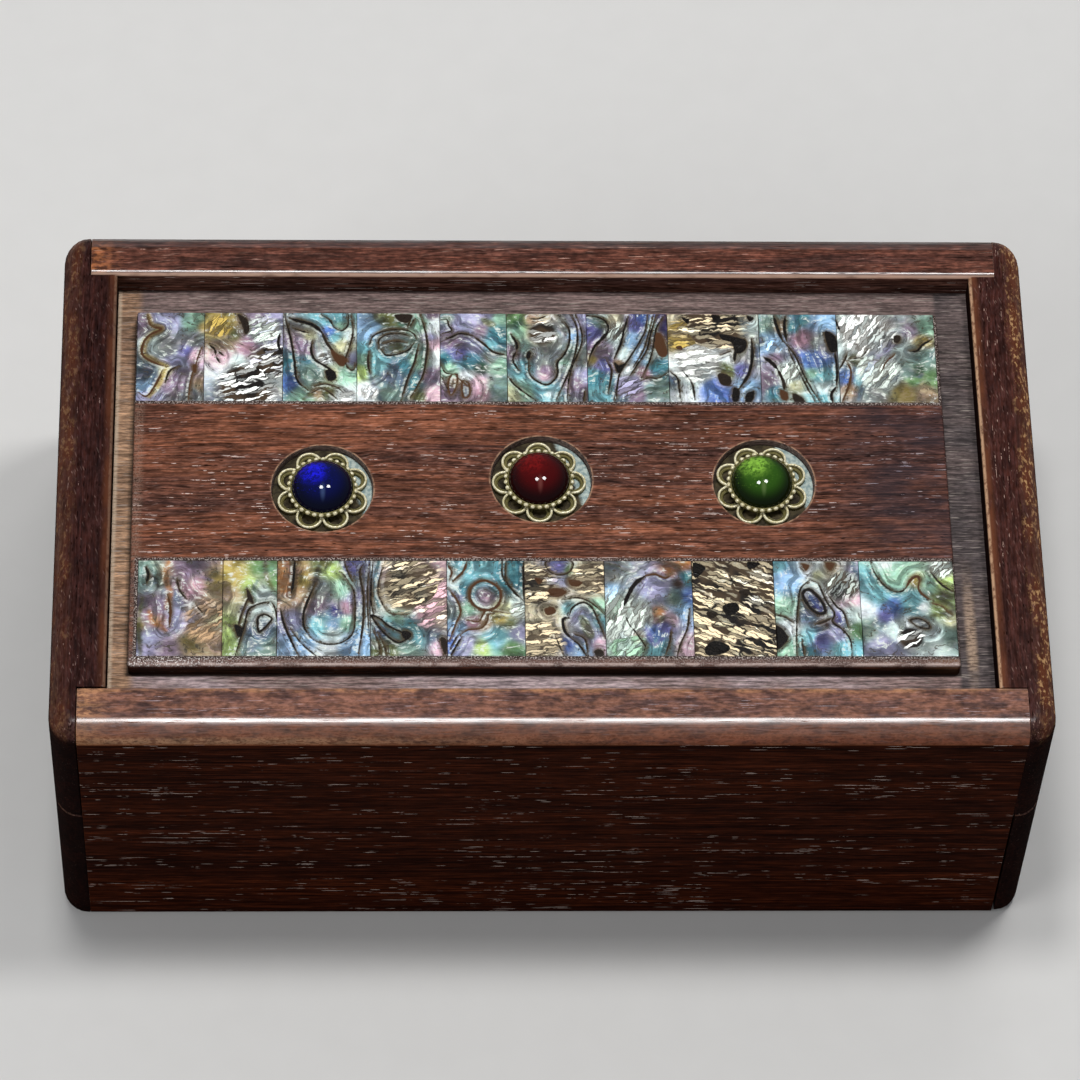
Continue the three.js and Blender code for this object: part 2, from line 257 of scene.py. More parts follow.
def new_material(name):
    """A material with only a Principled shader and its output. Returns it with its tree and the shader."""
    material = bpy.data.materials.new(name)
    material.use_nodes = True
    return material, material.node_tree, material.node_tree.nodes["Principled BSDF"]


def new_group(name, inputs, outputs):
    """An empty node group with named sockets, (name, kind, value) or (name, kind). Returns its tree, the
    values that come in, and the node that sends values out."""
    tree = bpy.data.node_groups.new(name, "ShaderNodeTree")
    for direction, sockets in (("INPUT", inputs), ("OUTPUT", outputs)):
        for socket in sockets:
            made = tree.interface.new_socket(socket[0], in_out=direction,
                                             socket_type="NodeSocket" + socket[1])
            if len(socket) > 2:
                made.default_value = socket[2]
    return tree, tree.nodes.new("NodeGroupInput").outputs, tree.nodes.new("NodeGroupOutput")


def use_group(tree, group, inputs):
    """A node group placed in a material, with its inputs."""
    node = tree.nodes.new("ShaderNodeGroup")
    node.node_tree = group
    return feed(node, inputs).outputs


print("node helpers ready")

# %% [markdown]
# ## The table
#
# The box stands on a plain pale sheet that runs far past the frame. It could be a bent backdrop, but the
# view is so steep that only the flat part would show. Its colour alone makes the background pale, and it
# keeps the box's shadow.

# %% Floor
def floor_sheet():
    """Four points of a square at height zero, just under the box."""
    reach = 6.0
    points = [(-reach, -reach, 0), (reach, -reach, 0), (reach, reach, 0), (-reach, reach, 0)]
    mesh = bpy.data.meshes.new("floor")
    mesh.from_pydata(points, [], [(0, 1, 2, 3)])
    sheet = bpy.data.objects.new("floor", mesh)
    material, tree, shader = new_material("pale_paper")
    grain = noise(object_place(tree), 0.15, 2)
    tone = blend(grain, (0.68, 0.67, 0.65), (0.71, 0.70, 0.68))
    feed(shader, {"Base Color": tone, "Roughness": 0.9, "Specular IOR Level": 0.2})
    mesh.materials.append(material)
    bpy.context.scene.collection.objects.link(sheet)


floor_sheet()
print("floor laid")

# %% [markdown]
# ## Surfaces from rings of points
#
# Nearly every piece is the same idea: a closed line that is carried along an axis while it slowly changes.
# Blender could bevel a cube instead, but then every edge is equally sharp. Worked out as one array of
# points, each edge gets its own rounding, and the same sums say where a hand would wear it: the value
# `edge` is 1 on the crest of a rounded edge, 0 on a flat and below 0 in an inside corner.

# %% Ring surfaces
def surface(name, rings, edge=None, caps=True):
    """A mesh through levels x count points. Quads join each ring to the next one, and flat caps close it."""
    levels, count = rings.shape[:2]
    index = np.arange(levels * count).reshape(levels, count)
    low, high = index[:-1], index[1:]
    quads = np.stack([low, np.roll(low, -1, 1), np.roll(high, -1, 1), high], -1).reshape(-1, 4)
    faces = quads.tolist()
    if caps:
        faces += [index[0][::-1].tolist(), index[-1].tolist()]
    mesh = bpy.data.meshes.new(name)
    mesh.from_pydata(rings.reshape(-1, 3).tolist(), [], faces)
    values = np.zeros(levels * count) if edge is None else edge.reshape(-1)
    mesh.attributes.new("edge", "FLOAT", "POINT").data.foreach_set("value", values.astype(np.float32))
    mesh.shade_smooth()
    if caps:
        for face in (mesh.polygons[-2], mesh.polygons[-1]):
            face.use_smooth = False
    piece = bpy.data.objects.new(name, mesh)
    bpy.context.scene.collection.objects.link(piece)
    return piece


ARC_STEPS = 7


def outline(corners, runs):
    """A closed line round right-angled corners (u, v, before, after), anticlockwise. Each corner is a quarter
    ellipse: middle + before sin(t) along the side it comes from, less after cos(t) along the side it goes to.
    Each straight side holds a given number of points. Also returns the value edge, sin(2t) on a corner."""
    corners = np.array(corners, float)
    at, before, after = corners[:, :2], corners[:, 2:3], corners[:, 3:4]
    came = at - np.roll(at, 1, 0)
    came /= np.linalg.norm(came, axis=1, keepdims=True)
    going = np.roll(came, -1, 0)
    t = np.linspace(0, math.pi / 2, ARC_STEPS)[:, None, None]
    middle = at - came * before + going * after
    arcs = middle + came * before * np.sin(t) - going * after * np.cos(t)
    outward = np.sign(came[:, 0] * going[:, 1] - came[:, 1] * going[:, 0])
    crest = np.sin(2 * t[:, :, 0]) * outward
    points, edge = [], []
    for k, run in enumerate(runs):
        share = (np.arange(1, run + 1) / (run + 1))[:, None]
        start, end = arcs[-1, k], arcs[0, (k + 1) % len(runs)]
        points += [arcs[:, k], start + (end - start) * share]
        edge += [crest[:, k], np.zeros(run)]
    return np.concatenate(points), np.concatenate(edge)


def runs_for(corners, spacing):
    """How many points each straight side needs, so that none are further apart than spacing."""
    at = np.array(corners)[:, :2]
    sides = np.linalg.norm(np.roll(at, -1, 0) - at, axis=1)
    return np.clip(sides / spacing, 1, 80).astype(int)


def drawn_in(corners, inset):
    """The same corners with every side moved inwards. Outside corners lose that much radius."""
    corners = np.array(corners, float)
    at = corners[:, :2]
    came = at - np.roll(at, 1, 0)
    came /= np.linalg.norm(came, axis=1, keepdims=True)
    going = np.roll(came, -1, 0)
    outward = np.stack([came[:, 1] + going[:, 1], -came[:, 0] - going[:, 0]], 1)
    turns = np.sign(came[:, 0] * going[:, 1] - came[:, 1] * going[:, 0])[:, None]
    radii = np.maximum(corners[:, 2:] - turns * inset, 0.02 * MM)
    return np.concatenate([at - outward * inset, radii], 1)


# For each axis of travel: the columns of u, v and the place along the axis
COLUMNS = {"X": (1, 2, 0), "Y": (2, 0, 1), "Z": (0, 1, 2)}


def loft(name, axis, stations, spacing=2.0 * MM):
    """Carries an outline along an axis through stations (place, corners, edge)."""
    runs = runs_for(stations[len(stations) // 2][1], spacing)
    lines = [outline(corners, runs) for _, corners, _ in stations]
    rings = np.empty((len(stations), len(lines[0][0]), 3))
    u, v, along = COLUMNS[axis]
    rings[..., u] = np.array([points[:, 0] for points, _ in lines])
    rings[..., v] = np.array([points[:, 1] for points, _ in lines])
    rings[..., along] = np.array([place for place, _, _ in stations])[:, None]
    crest = np.array([edge for _, edge in lines])
    end = np.array([edge for _, _, edge in stations])[:, None]
    values = np.where(crest < 0, crest, np.maximum(crest, end))
    values[[0, -1]] = 0
    return surface(name, rings, values)


CAP_RIM = 0.3 * MM


def end_stations(corners, end, radius, into):
    """Stations of a rounded end, from the flat cap to the full outline. into is +1 or -1, towards the piece."""
    t = np.linspace(0, math.pi / 2, ARC_STEPS)
    cap = [(end, drawn_in(corners, radius + CAP_RIM), 0.0)]
    return cap + [(end + into * radius * (1 - math.cos(a)), drawn_in(corners, radius * (1 - math.sin(a))),
                   math.sin(2 * a)) for a in t]


def straight_stations(corners, low, high, spacing):
    count = max(int((high - low) / spacing), 1)
    return [(place, corners, 0.0) for place in np.linspace(low, high, count + 1)[1:-1]]


def plain_prism(name, axis, corners, low, high, radius=0.3 * MM, spacing=2.0 * MM):
    """An outline carried straight from low to high, with small rounded ends."""
    stations = end_stations(corners, low, radius, 1)
    stations += straight_stations(corners, low + radius, high - radius, spacing)
    stations += end_stations(corners, high, radius, -1)[::-1]
    return loft(name, axis, stations, spacing)


def rectangle(low, high, radius):
    """Corners of a rectangle from (u, v) to (u, v), anticlockwise."""
    (u0, v0), (u1, v1) = low, high
    return [(u0, v0, radius, radius), (u1, v0, radius, radius), (u1, v1, radius, radius),
            (u0, v1, radius, radius)]


def sharp(piece, degrees):
    """Keeps an edge sharp where two faces turn by more than this."""
    piece.data.set_sharp_from_angle(angle=math.radians(degrees))
    return piece


def even_normals(piece):
    """Lets the large faces decide the shading, so that flats stay flat right up to their rounded edges."""
    change = sharp(piece, 50).modifiers.new("normals", "WEIGHTED_NORMAL")
    change.keep_sharp = True
    return piece


def stands_for(piece, node, material=None):
    """The piece takes the place of a CAD node: it moves with its body and wears the given material, if there is
    one.
    """
    record = frame["record"]
    body = next(name for name, members in record["behaviour"]["bodies"].items() if node in members)
    if material:
        piece.data.materials.clear()
        piece.data.materials.append(material)
    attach(piece, body)
    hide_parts(node)
    return piece


print("ring helpers ready")

# %% [markdown]
# ## Rosewood
#
# Rosewood is dark brown with redder and almost black streaks, and it is full of open pores. Cut along the
# grain they show as short pale dashes where polish has dried in them, and cut across it they are dots.
# A flat picture of wood can't do both, so the pores here are long ellipsoids that fill space: a face
# that runs with the grain cuts them lengthwise and a rounded end cuts them across. The group expects the
# grain to run along X, and each board turns its own coordinates to suit.

# %% Rosewood group
def pore_lines(place, cell, length, width, share):
    """Thin lines along X in a share of the cells of a stretched Voronoi pattern. The cell's own point says
    where its line is, so length and width are free of the cell's size, and each line gets its own length."""
    where = stretch(place, tuple(1 / side for side in cell))
    cells = scattered(where)
    red, green, blue = dice(cells["Color"])
    apart = vectors("SUBTRACT", where, cells["Position"])
    apart = stretch(apart, (cell[0] / length, cell[1] / width, cell[2] / width))
    own = ramp(green, 0.0, 1.0, 2.2, 0.75)
    apart = stretch(apart, point_of(own, 1.0, 1.0))
    far = vectors("LENGTH", apart)
    there = ramp(red, 1 - share - 0.02, 1 - share + 0.02)
    return times(ramp(far, 0.35, 1.0, 1, 0), there, ramp(blue, 0.1, 0.9, 0.35, 1.0))


def rosewood_group():
    tree, given, put = new_group(
        "rosewood",
        [("Place", "Vector"), ("Edge", "Float", 0.0), ("Rubbed", "Float", 0.0), ("Gloss", "Float", 0.3),
         ("Dark", "Color"), ("Warm", "Color"), ("Hazy", "Color"), ("Pore Tone", "Color"),
         ("Pore Share", "Float", 0.45), ("Wear", "Float", 1.0), ("Streaks", "Float", 1.0),
         ("Flecks", "Float", 0.5)],
        [("Color", "Color"), ("Roughness", "Float"), ("Coat", "Float"), ("Height", "Float")])
    bend = minus(noise(given["Place"], (0.03, 0.06, 0.06), 2), 0.5)
    bend = times(bend, 2.6)
    bend = point_of(0.0, bend, bend)
    place = vectors("ADD", given["Place"], bend)
    figure = noise(place, (0.011, 0.13, 0.13), 4, 0.55, 0.9)
    streaks = noise(place, (0.03, 1.0, 1.0), 4, 0.6, 0.4)
    fibres = noise(place, (0.14, 3.0, 3.0), 3, 0.6)
    flecks = noise(place, (0.8, 3.2, 3.2), 3, 0.62)
    clouds = noise(place, (0.05, 0.16, 0.16), 4, 0.6)
    body = plus(times(figure, 0.6), times(streaks, 0.5))
    tone = blend(ramp(body, 0.42, 0.68), given["Dark"], given["Warm"])
    black = ramp(streaks, 0.55, 0.68, 0, 0.6)
    tone = blend(black, tone, (0.008, 0.004, 0.003))
    # A paler, hazier colour: partly rubbing and dust, partly a painted sheen on what faces up
    sheen_rub_dust_tone = blend(ramp(clouds, 0.42, 0.66), given["Hazy"], (0.54, 0.66, 0.78), "MULTIPLY")
    sheen_rub_dust_share = times(given["Rubbed"], ramp(flecks, 0.32, 0.72, 0.35, 1.0))
    tone = blend(sheen_rub_dust_share, tone, sheen_rub_dust_tone)
    grain = times(ramp(fibres, 0.34, 0.66, 0.32, 1.7), ramp(flecks, 0.34, 0.66, 0.65, 1.35))
    tone = blend(given["Streaks"], tone, grey(grain), "MULTIPLY")
    mottle = noise(place, (0.35, 0.9, 0.9), 4, 0.6)
    tone = blend(1.0, tone, grey(ramp(mottle, 0.34, 0.66, 0.64, 1.4)), "MULTIPLY")
    dark_pores = pore_lines(stretch(place, (1.0, 0.93, 1.06)), (2.2, 0.42, 0.42), 0.9, 0.14, 0.75)
    tone = blend(times(dark_pores, 0.9), tone, (0.006, 0.003, 0.002))
    short = pore_lines(place, (2.4, 0.42, 0.42), 1.2, 0.11, 0.6)
    long = pore_lines(stretch(place, (1.0, 1.03, 0.97)), (8.0, 0.8, 0.8), 3.8, 0.11, 0.8)
    beads = ramp(noise(place, (2.2, 3.0, 3.0), 2), 0.36, 0.54, 0.2, 1.0)
    patches = ramp(noise(place, (0.04, 0.2, 0.2), 3), 0.38, 0.58, 0.15, 1.0)
    lines = times(largest(short, long), beads)
    pores = times(lines, patches)
    shown = ramp(times(pores, given["Pore Share"]), 0.12, 0.40)
    tone = blend(shown, tone, given["Pore Tone"])
    turned = add_node(tree, "Mapping", {"Vector": given["Place"], "Rotation": (0, 0, -0.32)}).outputs[0]
    chips = pore_lines(turned, (1.5, 0.46, 0.46), 0.75, 0.13, 0.6)
    chips = times(chips, ramp(mottle, 0.4, 0.6, 0.25, 1.0))
    tone = blend(times(chips, given["Flecks"], clamp=True), tone, given["Pore Tone"])
    bare = plus(given["Edge"], times(minus(clouds, 0.5), 1.3))
    bare = plus(bare, times(minus(flecks, 0.5), 1.6))
    bare = times(ramp(bare, 0.7, 1.2), given["Wear"], clamp=True)
    tone = blend(bare, tone, (0.34, 0.17, 0.08))
    # Darker, almost black, in inside corners, where the edge value is below 0
    inside_corner_dark = ramp(given["Edge"], -0.7, 0.0, 0.85, 0)
    tone = blend(inside_corner_dark, tone, (0.005, 0.003, 0.002))
    broken = minus(1.0, largest(pores, dark_pores), clamp=True)
    shine = times(broken, ramp(fibres, 0.3, 0.62, 0.55, 1.0))
    relief = minus(times(fibres, 0.5), pores)
    relief = minus(relief, times(dark_pores, 0.8))
    feed(put, {"Color": tone, "Roughness": plus(0.45, times(fibres, 0.2)),
               "Coat": times(shine, given["Gloss"], clamp=True), "Height": relief})
    return tree


ROSEWOOD = rosewood_group()
ALONG_X = 0.0
ALONG_Y = math.pi / 2


def flat_normal(tree):
    """The surface's direction with its upward part taken out, and that upward part."""
    normal = add_node(tree, "NewGeometry").outputs["Normal"]
    return stretch(normal, (1, 1, 0)), split(normal)[2]


def rosewood(name, turn_z, offset, dark, warm, sheen_rub_dust_tone, pore_share=0.7, wear=1.0, rubbed=0.7, gloss=0.3,
             pore_tone=(0.56, 0.41, 0.34), drawn_out=(1, 1, 1), streaks=(1.0, 0.8), flecks=0.3,
             rim_gloss=0.6, coat=(1.5, 0.3)):
    """Rosewood with its grain turned to suit a board, cut from another part of the tree each time. Hands have
    rubbed what faces up: it is glossier than the sides, and painted paler and hazier, partly as rubbing and
    partly as a painted sheen. Walls that face into the box are dusty."""
    material, tree, shader = new_material(name)
    level, up = flat_normal(tree)
    edge = attribute(tree, "edge")
    # What faces up gets the paler, hazier colour, partly as rubbing and partly as a painted sheen; inner walls
    # add dust
    sheen_rub_dust = times(ramp(up, 0.05, 0.3), rubbed)
    sheen_rub_dust = plus(sheen_rub_dust, ramp(edge, 0.1, 0.8, 0, 0.2), clamp=True)
    sheen_rub_dust = times(sheen_rub_dust, ramp(up, -0.05, 0.25))
    outward = vectors("DOT_PRODUCT", level, object_place(tree))
    sheen_rub_dust = largest(sheen_rub_dust, ramp(outward, -36, -20, 0.5, 0))
    dulled = ramp(noise(object_place(tree), (0.06, 0.5, 0.5), 4, 0.6), 0.34, 0.62, 0.45, 1)
    rim = times(ramp(edge, 0.0, 0.3, 0, rim_gloss), ramp(up, 0.5, 0.85))
    rim = times(rim, dulled)
    shine = plus(ramp(up, 0.1, 0.6, gloss * 0.15, gloss), rim)
    worn = times(ramp(up, 0.05, 0.5, 0.1, 1.0), wear)
    place = stretch(object_place(tree, turn_z, offset), drawn_out)
    inputs = {"Place": place, "Edge": edge, "Rubbed": sheen_rub_dust, "Gloss": shine, "Dark": dark, "Warm": warm,
              "Hazy": sheen_rub_dust_tone, "Pore Tone": pore_tone, "Pore Share": pore_share, "Wear": worn,
              "Streaks": ramp(up, 0.05, 0.4, *streaks), "Flecks": ramp(up, 0.3, 0.7, 0.0, flecks)}
    wood = use_group(tree, ROSEWOOD, inputs)
    feed(shader, {"Base Color": wood["Color"], "Roughness": wood["Roughness"], "Coat Weight": wood["Coat"],
                  "Specular IOR Level": 0.0, "Coat IOR": coat[0], "Coat Roughness": coat[1]})
    bump(shader, wood["Height"], 0.06 * MM, 0.6)
    return material


DEEP = (0.020, 0.0042, 0.0018)
DEEP_RED = (0.060, 0.0125, 0.0042)
board_wood = rosewood("rosewood_boards", ALONG_X, (40, 13, 5), DEEP, DEEP_RED, (0.25, 0.125, 0.095), 0.65,
                      0.5, gloss=0.1, pore_tone=(0.80, 0.65, 0.58), drawn_out=(0.42, 1.6, 1.6),
                      streaks=(0.8, 0.4), flecks=0.55, rim_gloss=1.0, coat=(2.4, 0.30))
end_wood = rosewood("rosewood_ends", ALONG_Y, (310, 71, 20), DEEP, (0.055, 0.012, 0.006),
                    (0.052, 0.024, 0.022), 0.5, 0.25, gloss=0.15, pore_tone=(0.40, 0.26, 0.21),
                    streaks=(0.7, 0.45), flecks=0.75, rim_gloss=0.5)
lid_wood = rosewood("lid_rosewood", ALONG_X, (170, 52, 33), (0.045, 0.014, 0.009), (0.21, 0.066, 0.028),
                    (0.19, 0.090, 0.065), 0.8, 0.8, 0.4, pore_tone=(0.70, 0.54, 0.48),
                    drawn_out=(0.8, 1.1, 1.1), flecks=0.2)
print("rosewood", [m.name for m in (board_wood, end_wood, lid_wood)])

# %% [markdown]
# ## Where hands and light have been
#
# A real box is not the same all over: the rounding of the front wall has been polished to a lighter tan, its
# left end is almost gold, and the blocks are rubbed through along their inner edges. Other marks are painted
# light: a painted highlight along the back wall's inner top edge, and painted shade on the back wall's outer
# rounding, on the faces below the rim and on the sides of the blocks. Painting a mask by hand would do, but
# each mark here is a simple place on the box, so a mark is a mask made from the coordinates, and a list of
# them is laid over the wood like thin coats of colour.

# %% Marks on the wood
def lay_over(material, marks):
    """Blends colours over a material's base colour: a mark is a mask, a colour and any blend mode but MIX."""
    shader = material.node_tree.nodes["Principled BSDF"]
    tone = shader.inputs["Base Color"].links[0].from_socket
    for mask, shade, *mode in marks:
        tone = blend(mask, tone, shade, *mode)
    feed(shader, {"Base Color": tone})


def mark_boards(material):
    tree = material.node_tree
    place = object_place(tree)
    x, y, z = split(place)
    out = sums("ABSOLUTE", y)
    patchy = noise(place, (0.22, 0.6, 0.6), 4, 0.6)
    mottle = noise(place, (0.7, 1.5, 1.5), 4, 0.62)
    in_front = ramp(y, -40, -41, 0, 1)
    rounded = times(ramp(z, 58.55, 58.75), ramp(out, 46.2, 47.0))
    front_round = times(rounded, in_front)
    top = times(ramp(z, 61.4, 61.8), in_front)
    inner_edge = times(top, near(out, 41.3, 1.0), ramp(patchy, 0.42, 0.6, 0.1, 0.75))
    upper = ramp(z, 58.5, 59.2)
    left_end = times(upper, ramp(x, -77.9, -71.5, 1, 0), ramp(mottle, 0.38, 0.6, 0.1, 0.9),
                     ramp(y, 41, 44, 1, 0.75))
    worn = blend(ramp(x, -60, 30), (0.46, 0.245, 0.115), (0.27, 0.085, 0.04))
    # Painted highlight: a thin pale line along the back wall's inner top edge
    back_edge_highlight = times(ramp(y, 40.9, 41.0), near(out, 41.2, 0.4), ramp(z, 61.3, 61.5),
                      ramp(patchy, 0.3, 0.5, 0.4, 0.9))
    in_back = ramp(y, 41.3, 41.8)
    # Painted shade: the back wall's outer rounding is darkened
    back_rim_shade = times(ramp(z, 58, 59), ramp(y, 46.2, 48.8))
    shade = times(ramp(mottle, 0.36, 0.64, 0.66, 1.35), ramp(patchy, 0.36, 0.64, 0.8, 1.2))
    lay_over(material, [
        # Painted shade: the faces below the rim are darkened towards black
        (ramp(z, 58.2, 58.6, 0.3, 0), (0.004, 0.001, 0.0005)),
        (times(top, ramp(patchy, 0.35, 0.6, 0.2, 0.7)), (0.30, 0.12, 0.06)),
        (times(front_round, ramp(patchy, 0.34, 0.6, 0.4, 0.85)), (0.27, 0.095, 0.042)),
        (times(near(z, 59.6, 1.1), front_round, ramp(mottle, 0.36, 0.6, 0.2, 0.9)), worn),
        (inner_edge, (0.42, 0.19, 0.075)), (left_end, (0.44, 0.20, 0.08)),
        (times(front_round, ramp(mottle, 0.50, 0.64, 0, 0.8)), (0.10, 0.030, 0.012)),
        (times(upper, in_front), grey(shade), "MULTIPLY"),
        (times(upper, in_front), (0.80, 0.86, 1.05), "MULTIPLY"),
        (times(in_back, ramp(z, 58, 59)), (0.80, 0.62, 0.55), "MULTIPLY"),
        (times(in_back, ramp(z, 58, 59)), grey(shade), "MULTIPLY"),
        (back_rim_shade, (0.22, 0.15, 0.12), "MULTIPLY"), (back_edge_highlight, (0.60, 0.38, 0.28))])


def mark_ends(material):
    tree = material.node_tree
    place = object_place(tree)
    x, _, z = split(place)
    up = flat_normal(tree)[1]
    out = sums("ABSOLUTE", x)
    dots = noise(place, (1.8, 1.0, 1.8), 3, 0.6)
    patchy = noise(place, (0.3, 0.12, 0.3), 4, 0.6)
    high = ramp(z, 60.9, 61.4)
    inner_edge = times(high, near(out, 73.35, 0.5), ramp(x, -1, 1, 0.35, 1), ramp(dots, 0.36, 0.52, 0.3, 1))
    inner_band = times(high, near(out, 73.6, 1.5), ramp(patchy, 0.35, 0.6, 0.3, 0.9))
    outer = times(ramp(z, 57.5, 59.5), ramp(out, 78.6, 80.4))
    gold = times(outer, ramp(x, -1, 1, 0.35, 1), ramp(patchy, 0.40, 0.6), ramp(dots, 0.52, 0.62, 0, 0.9))
    lay_over(material, [
        (inner_band, (0.14, 0.045, 0.02)), (inner_edge, (0.50, 0.30, 0.18)),
        (times(outer, ramp(patchy, 0.4, 0.65, 0.2, 0.8)), (0.13, 0.036, 0.014)),
        (gold, (0.50, 0.29, 0.13)), (ramp(x, -1, 1, 1, 0), (0.70, 0.70, 0.74), "MULTIPLY"),
        # Painted shade: faces that do not face up are darkened almost to black
        (ramp(up, 0.1, 0.5, 0.82, 0), (0.0035, 0.0022, 0.0022))])


mark_boards(board_wood)
mark_ends(end_wood)
print("marks laid over boards and ends")

# %% [markdown]
# ## Cutting and joining solids
#
# Pockets, bores and recesses are cut the way a maker cuts them, with a tool shape taken away from the
# wood. The result is kept as a plain mesh, so that every finished piece is a closed surface with no
# helper left in the scene.

# %% Tools for cutting
def settled(piece):
    """Applies the piece's modifiers and keeps the result as its mesh."""
    seen = piece.evaluated_get(bpy.context.evaluated_depsgraph_get())
    mesh = bpy.data.meshes.new_from_object(seen)
    piece.modifiers.clear()
    piece.data = mesh
    return piece


def combined(piece, tools, operation):
    """Joins the tools to the piece or cuts them out of it, one after the other, and removes them."""
    for tool in tools:
        change = piece.modifiers.new("tool", "BOOLEAN")
        change.operation = operation
        change.solver = "EXACT"
        change.material_mode = "TRANSFER"
        change.object = tool
    settled(piece)
    for tool in tools:
        bpy.data.objects.remove(tool)
    return piece


def lathe(name, centre, profile, steps=64, axis="Z", caps=True):
    """A profile of (radius, height) pairs turned about an axis through the centre."""
    turn = np.arange(steps) * 2 * math.pi / steps
    radius, height = np.array(profile, float).T
    rings = np.empty((len(profile), steps, 3))
    u, v, along = COLUMNS[axis]
    rings[..., u] = centre[u] + radius[:, None] * np.cos(turn)
    rings[..., v] = centre[v] + radius[:, None] * np.sin(turn)
    rings[..., along] = centre[along] + height[:, None]
    return surface(name, rings, caps=caps)


PIN_X = 30 * MM
PIN_Z = 54.8 * MM
BORE = 1.25 * MM


def level_bore(side, near, far):
    """A round tool along Y for a lock pin, on one side of the box, between two distances from its middle."""
    reach = sorted((side * near, side * far))
    return lathe("bore", (PIN_X, 0, PIN_Z), [(BORE, reach[0]), (BORE, reach[1])], 32, "Y")


print("cutting tools ready")

# %% [markdown]
# ## The long walls
#
# The front and back walls are single boards. Their outer top edge is rounded by hand, wider across the top
# than down the face, and the inner side has two grooves: one for the lid's flange and one for the tray's
# floor. A board is its end outline carried along X, so the grooves and the roundings come with it.

# %% Long walls
GROOVE_LOW = 52.6 * MM
GROOVE_HIGH = 57.0 * MM
GROOVE_DEPTH = 3 * MM
TRAY_LOW = 35.15 * MM
TRAY_HIGH = 38.15 * MM
TRAY_TONGUE = 2 * MM
RIM_IN = 3.5 * MM
RIM_DOWN = 3.4 * MM
BASE_ROUND = 1.2 * MM
SHARP = 0.12 * MM
SOFT = 0.45 * MM


def wall_corners(outer, inner, height, soft):
    """The front wall from its right end: outside at the left, grooves at the right, upper inner edge soft."""
    lid_wall, tray_wall = inner - GROOVE_DEPTH, inner - TRAY_TONGUE
    return [(outer, 0, BASE_ROUND, BASE_ROUND), (inner, 0, SHARP, SHARP),
            (inner, TRAY_LOW, SHARP, SHARP), (tray_wall, TRAY_LOW, SHARP, SHARP),
            (tray_wall, TRAY_HIGH, SHARP, SHARP), (inner, TRAY_HIGH, SHARP, SHARP),
            (inner, GROOVE_LOW, SHARP, SHARP), (lid_wall, GROOVE_LOW, SHARP, SHARP),
            (lid_wall, GROOVE_HIGH, SHARP, SHARP), (inner, GROOVE_HIGH, SHARP, SHARP),
            (inner, height, soft, soft), (outer, height, RIM_IN, RIM_DOWN)]


def turned_about(corners):
    """The same outline for the wall that faces it: u changes sign and the order runs the other way."""
    return [(-u, v, after, before) for u, v, before, after in reversed(corners)]


def long_wall(node):
    low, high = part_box(node)
    if low.y < 0:
        corners = wall_corners(low.y, high.y, high.z, SOFT)
    else:
        corners = turned_about(wall_corners(-high.y, -low.y, high.z, 1.0 * MM))
    piece = plain_prism(node + "_wood", "X", corners, low.x, high.x, SHARP)
    side = 1 if low.y > 0 else -1
    combined(piece, [level_bore(side, 43.5 * MM, 48.9 * MM)], "DIFFERENCE")
    return stands_for(even_normals(piece), node, board_wood)


for node in ("front_board", "back_board"):
    piece = long_wall(node)
    print(piece.name, len(piece.data.polygons), "faces")

# %% [markdown]
# ## The end walls
#
# Each end is a thick block cut across at half height. Its middle fits between the long walls and its outer
# lip covers their ends, so seen from above it is a wide T. It is built upwards: the same T at every
# height, drawn in at the base and at the rim where the outside is rounded. The two upper blocks and the
# two lower ones differ only in which of those roundings they meet.

# %% End walls
CORNER = 5 * MM
LIP = 4.7 * MM
BLOCK = 9.3 * MM


def block_corners(side, outer_inset, inner_inset, gap):
    """The T from above, for the right end (side 1) or the left (side -1). The outer sides and the opening's
    edge move in by their own amounts, and gap is the play round a block that slides."""
    half_length, half_width = 82.5 * MM, 50 * MM
    out_x, out_y = half_length - outer_inset, half_width - outer_inset
    lip_x = half_length - LIP + gap
    in_x, in_y = half_length - BLOCK + inner_inset, 41 * MM - gap
    corner = max(CORNER - outer_inset, 0.3 * MM)
    across = max(min(corner, out_x - lip_x - 0.45 * MM), 0.3 * MM)
    half = [(in_x, -in_y, SHARP * 2, SHARP * 2), (lip_x, -in_y, SHARP, SHARP), (lip_x, -out_y, SHARP, SHARP),
            (out_x, -out_y, across, corner)]
    whole = half + [(u, -v, after, before) for u, v, before, after in reversed(half)]
    return whole if side > 0 else turned_about(whole)


def end_block(node, gap):
    low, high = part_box(node)
    side = 1 if high.x > 0 else -1
    top = 62 * MM
    reaches_rim = high.z > top - MM
    plan = block_corners(side, 0, 0, gap)
    base = BASE_ROUND if low.z < MM else 0.3 * MM
    stations = end_stations(plan, low.z, base, 1)
    if reaches_rim:
        stations += straight_stations(plan, low.z + base, top - RIM_DOWN, 2 * MM)
        for a in np.linspace(0, math.pi / 2, 12):
            place = top - RIM_DOWN * (1 - math.sin(a))
            near_top = max(0, (place - (top - SOFT)) / SOFT)
            inner_inset = SOFT * (1 - math.sqrt(1 - near_top ** 2))
            corners = block_corners(side, RIM_IN * (1 - math.cos(a)), inner_inset, gap)
            stations.append((place, corners, math.sin(2 * a) * 0.8))
        stations.append((top, drawn_in(stations[-1][1], CAP_RIM), 0.0))
    else:
        stations += straight_stations(plan, low.z + base, high.z - 0.3 * MM, 2 * MM)
        stations += end_stations(plan, high.z, 0.3 * MM, -1)[::-1]
    piece = loft(node + "_wood", "Z", stations)
    if node == "right_end_upper":
        groove = rectangle((-41 * MM, GROOVE_LOW), (41 * MM, GROOVE_HIGH), SHARP)
        combined(piece, [plain_prism("groove", "X", groove, 72 * MM, 76.2 * MM, SHARP)], "DIFFERENCE")
    return stands_for(even_normals(piece), node, end_wood)


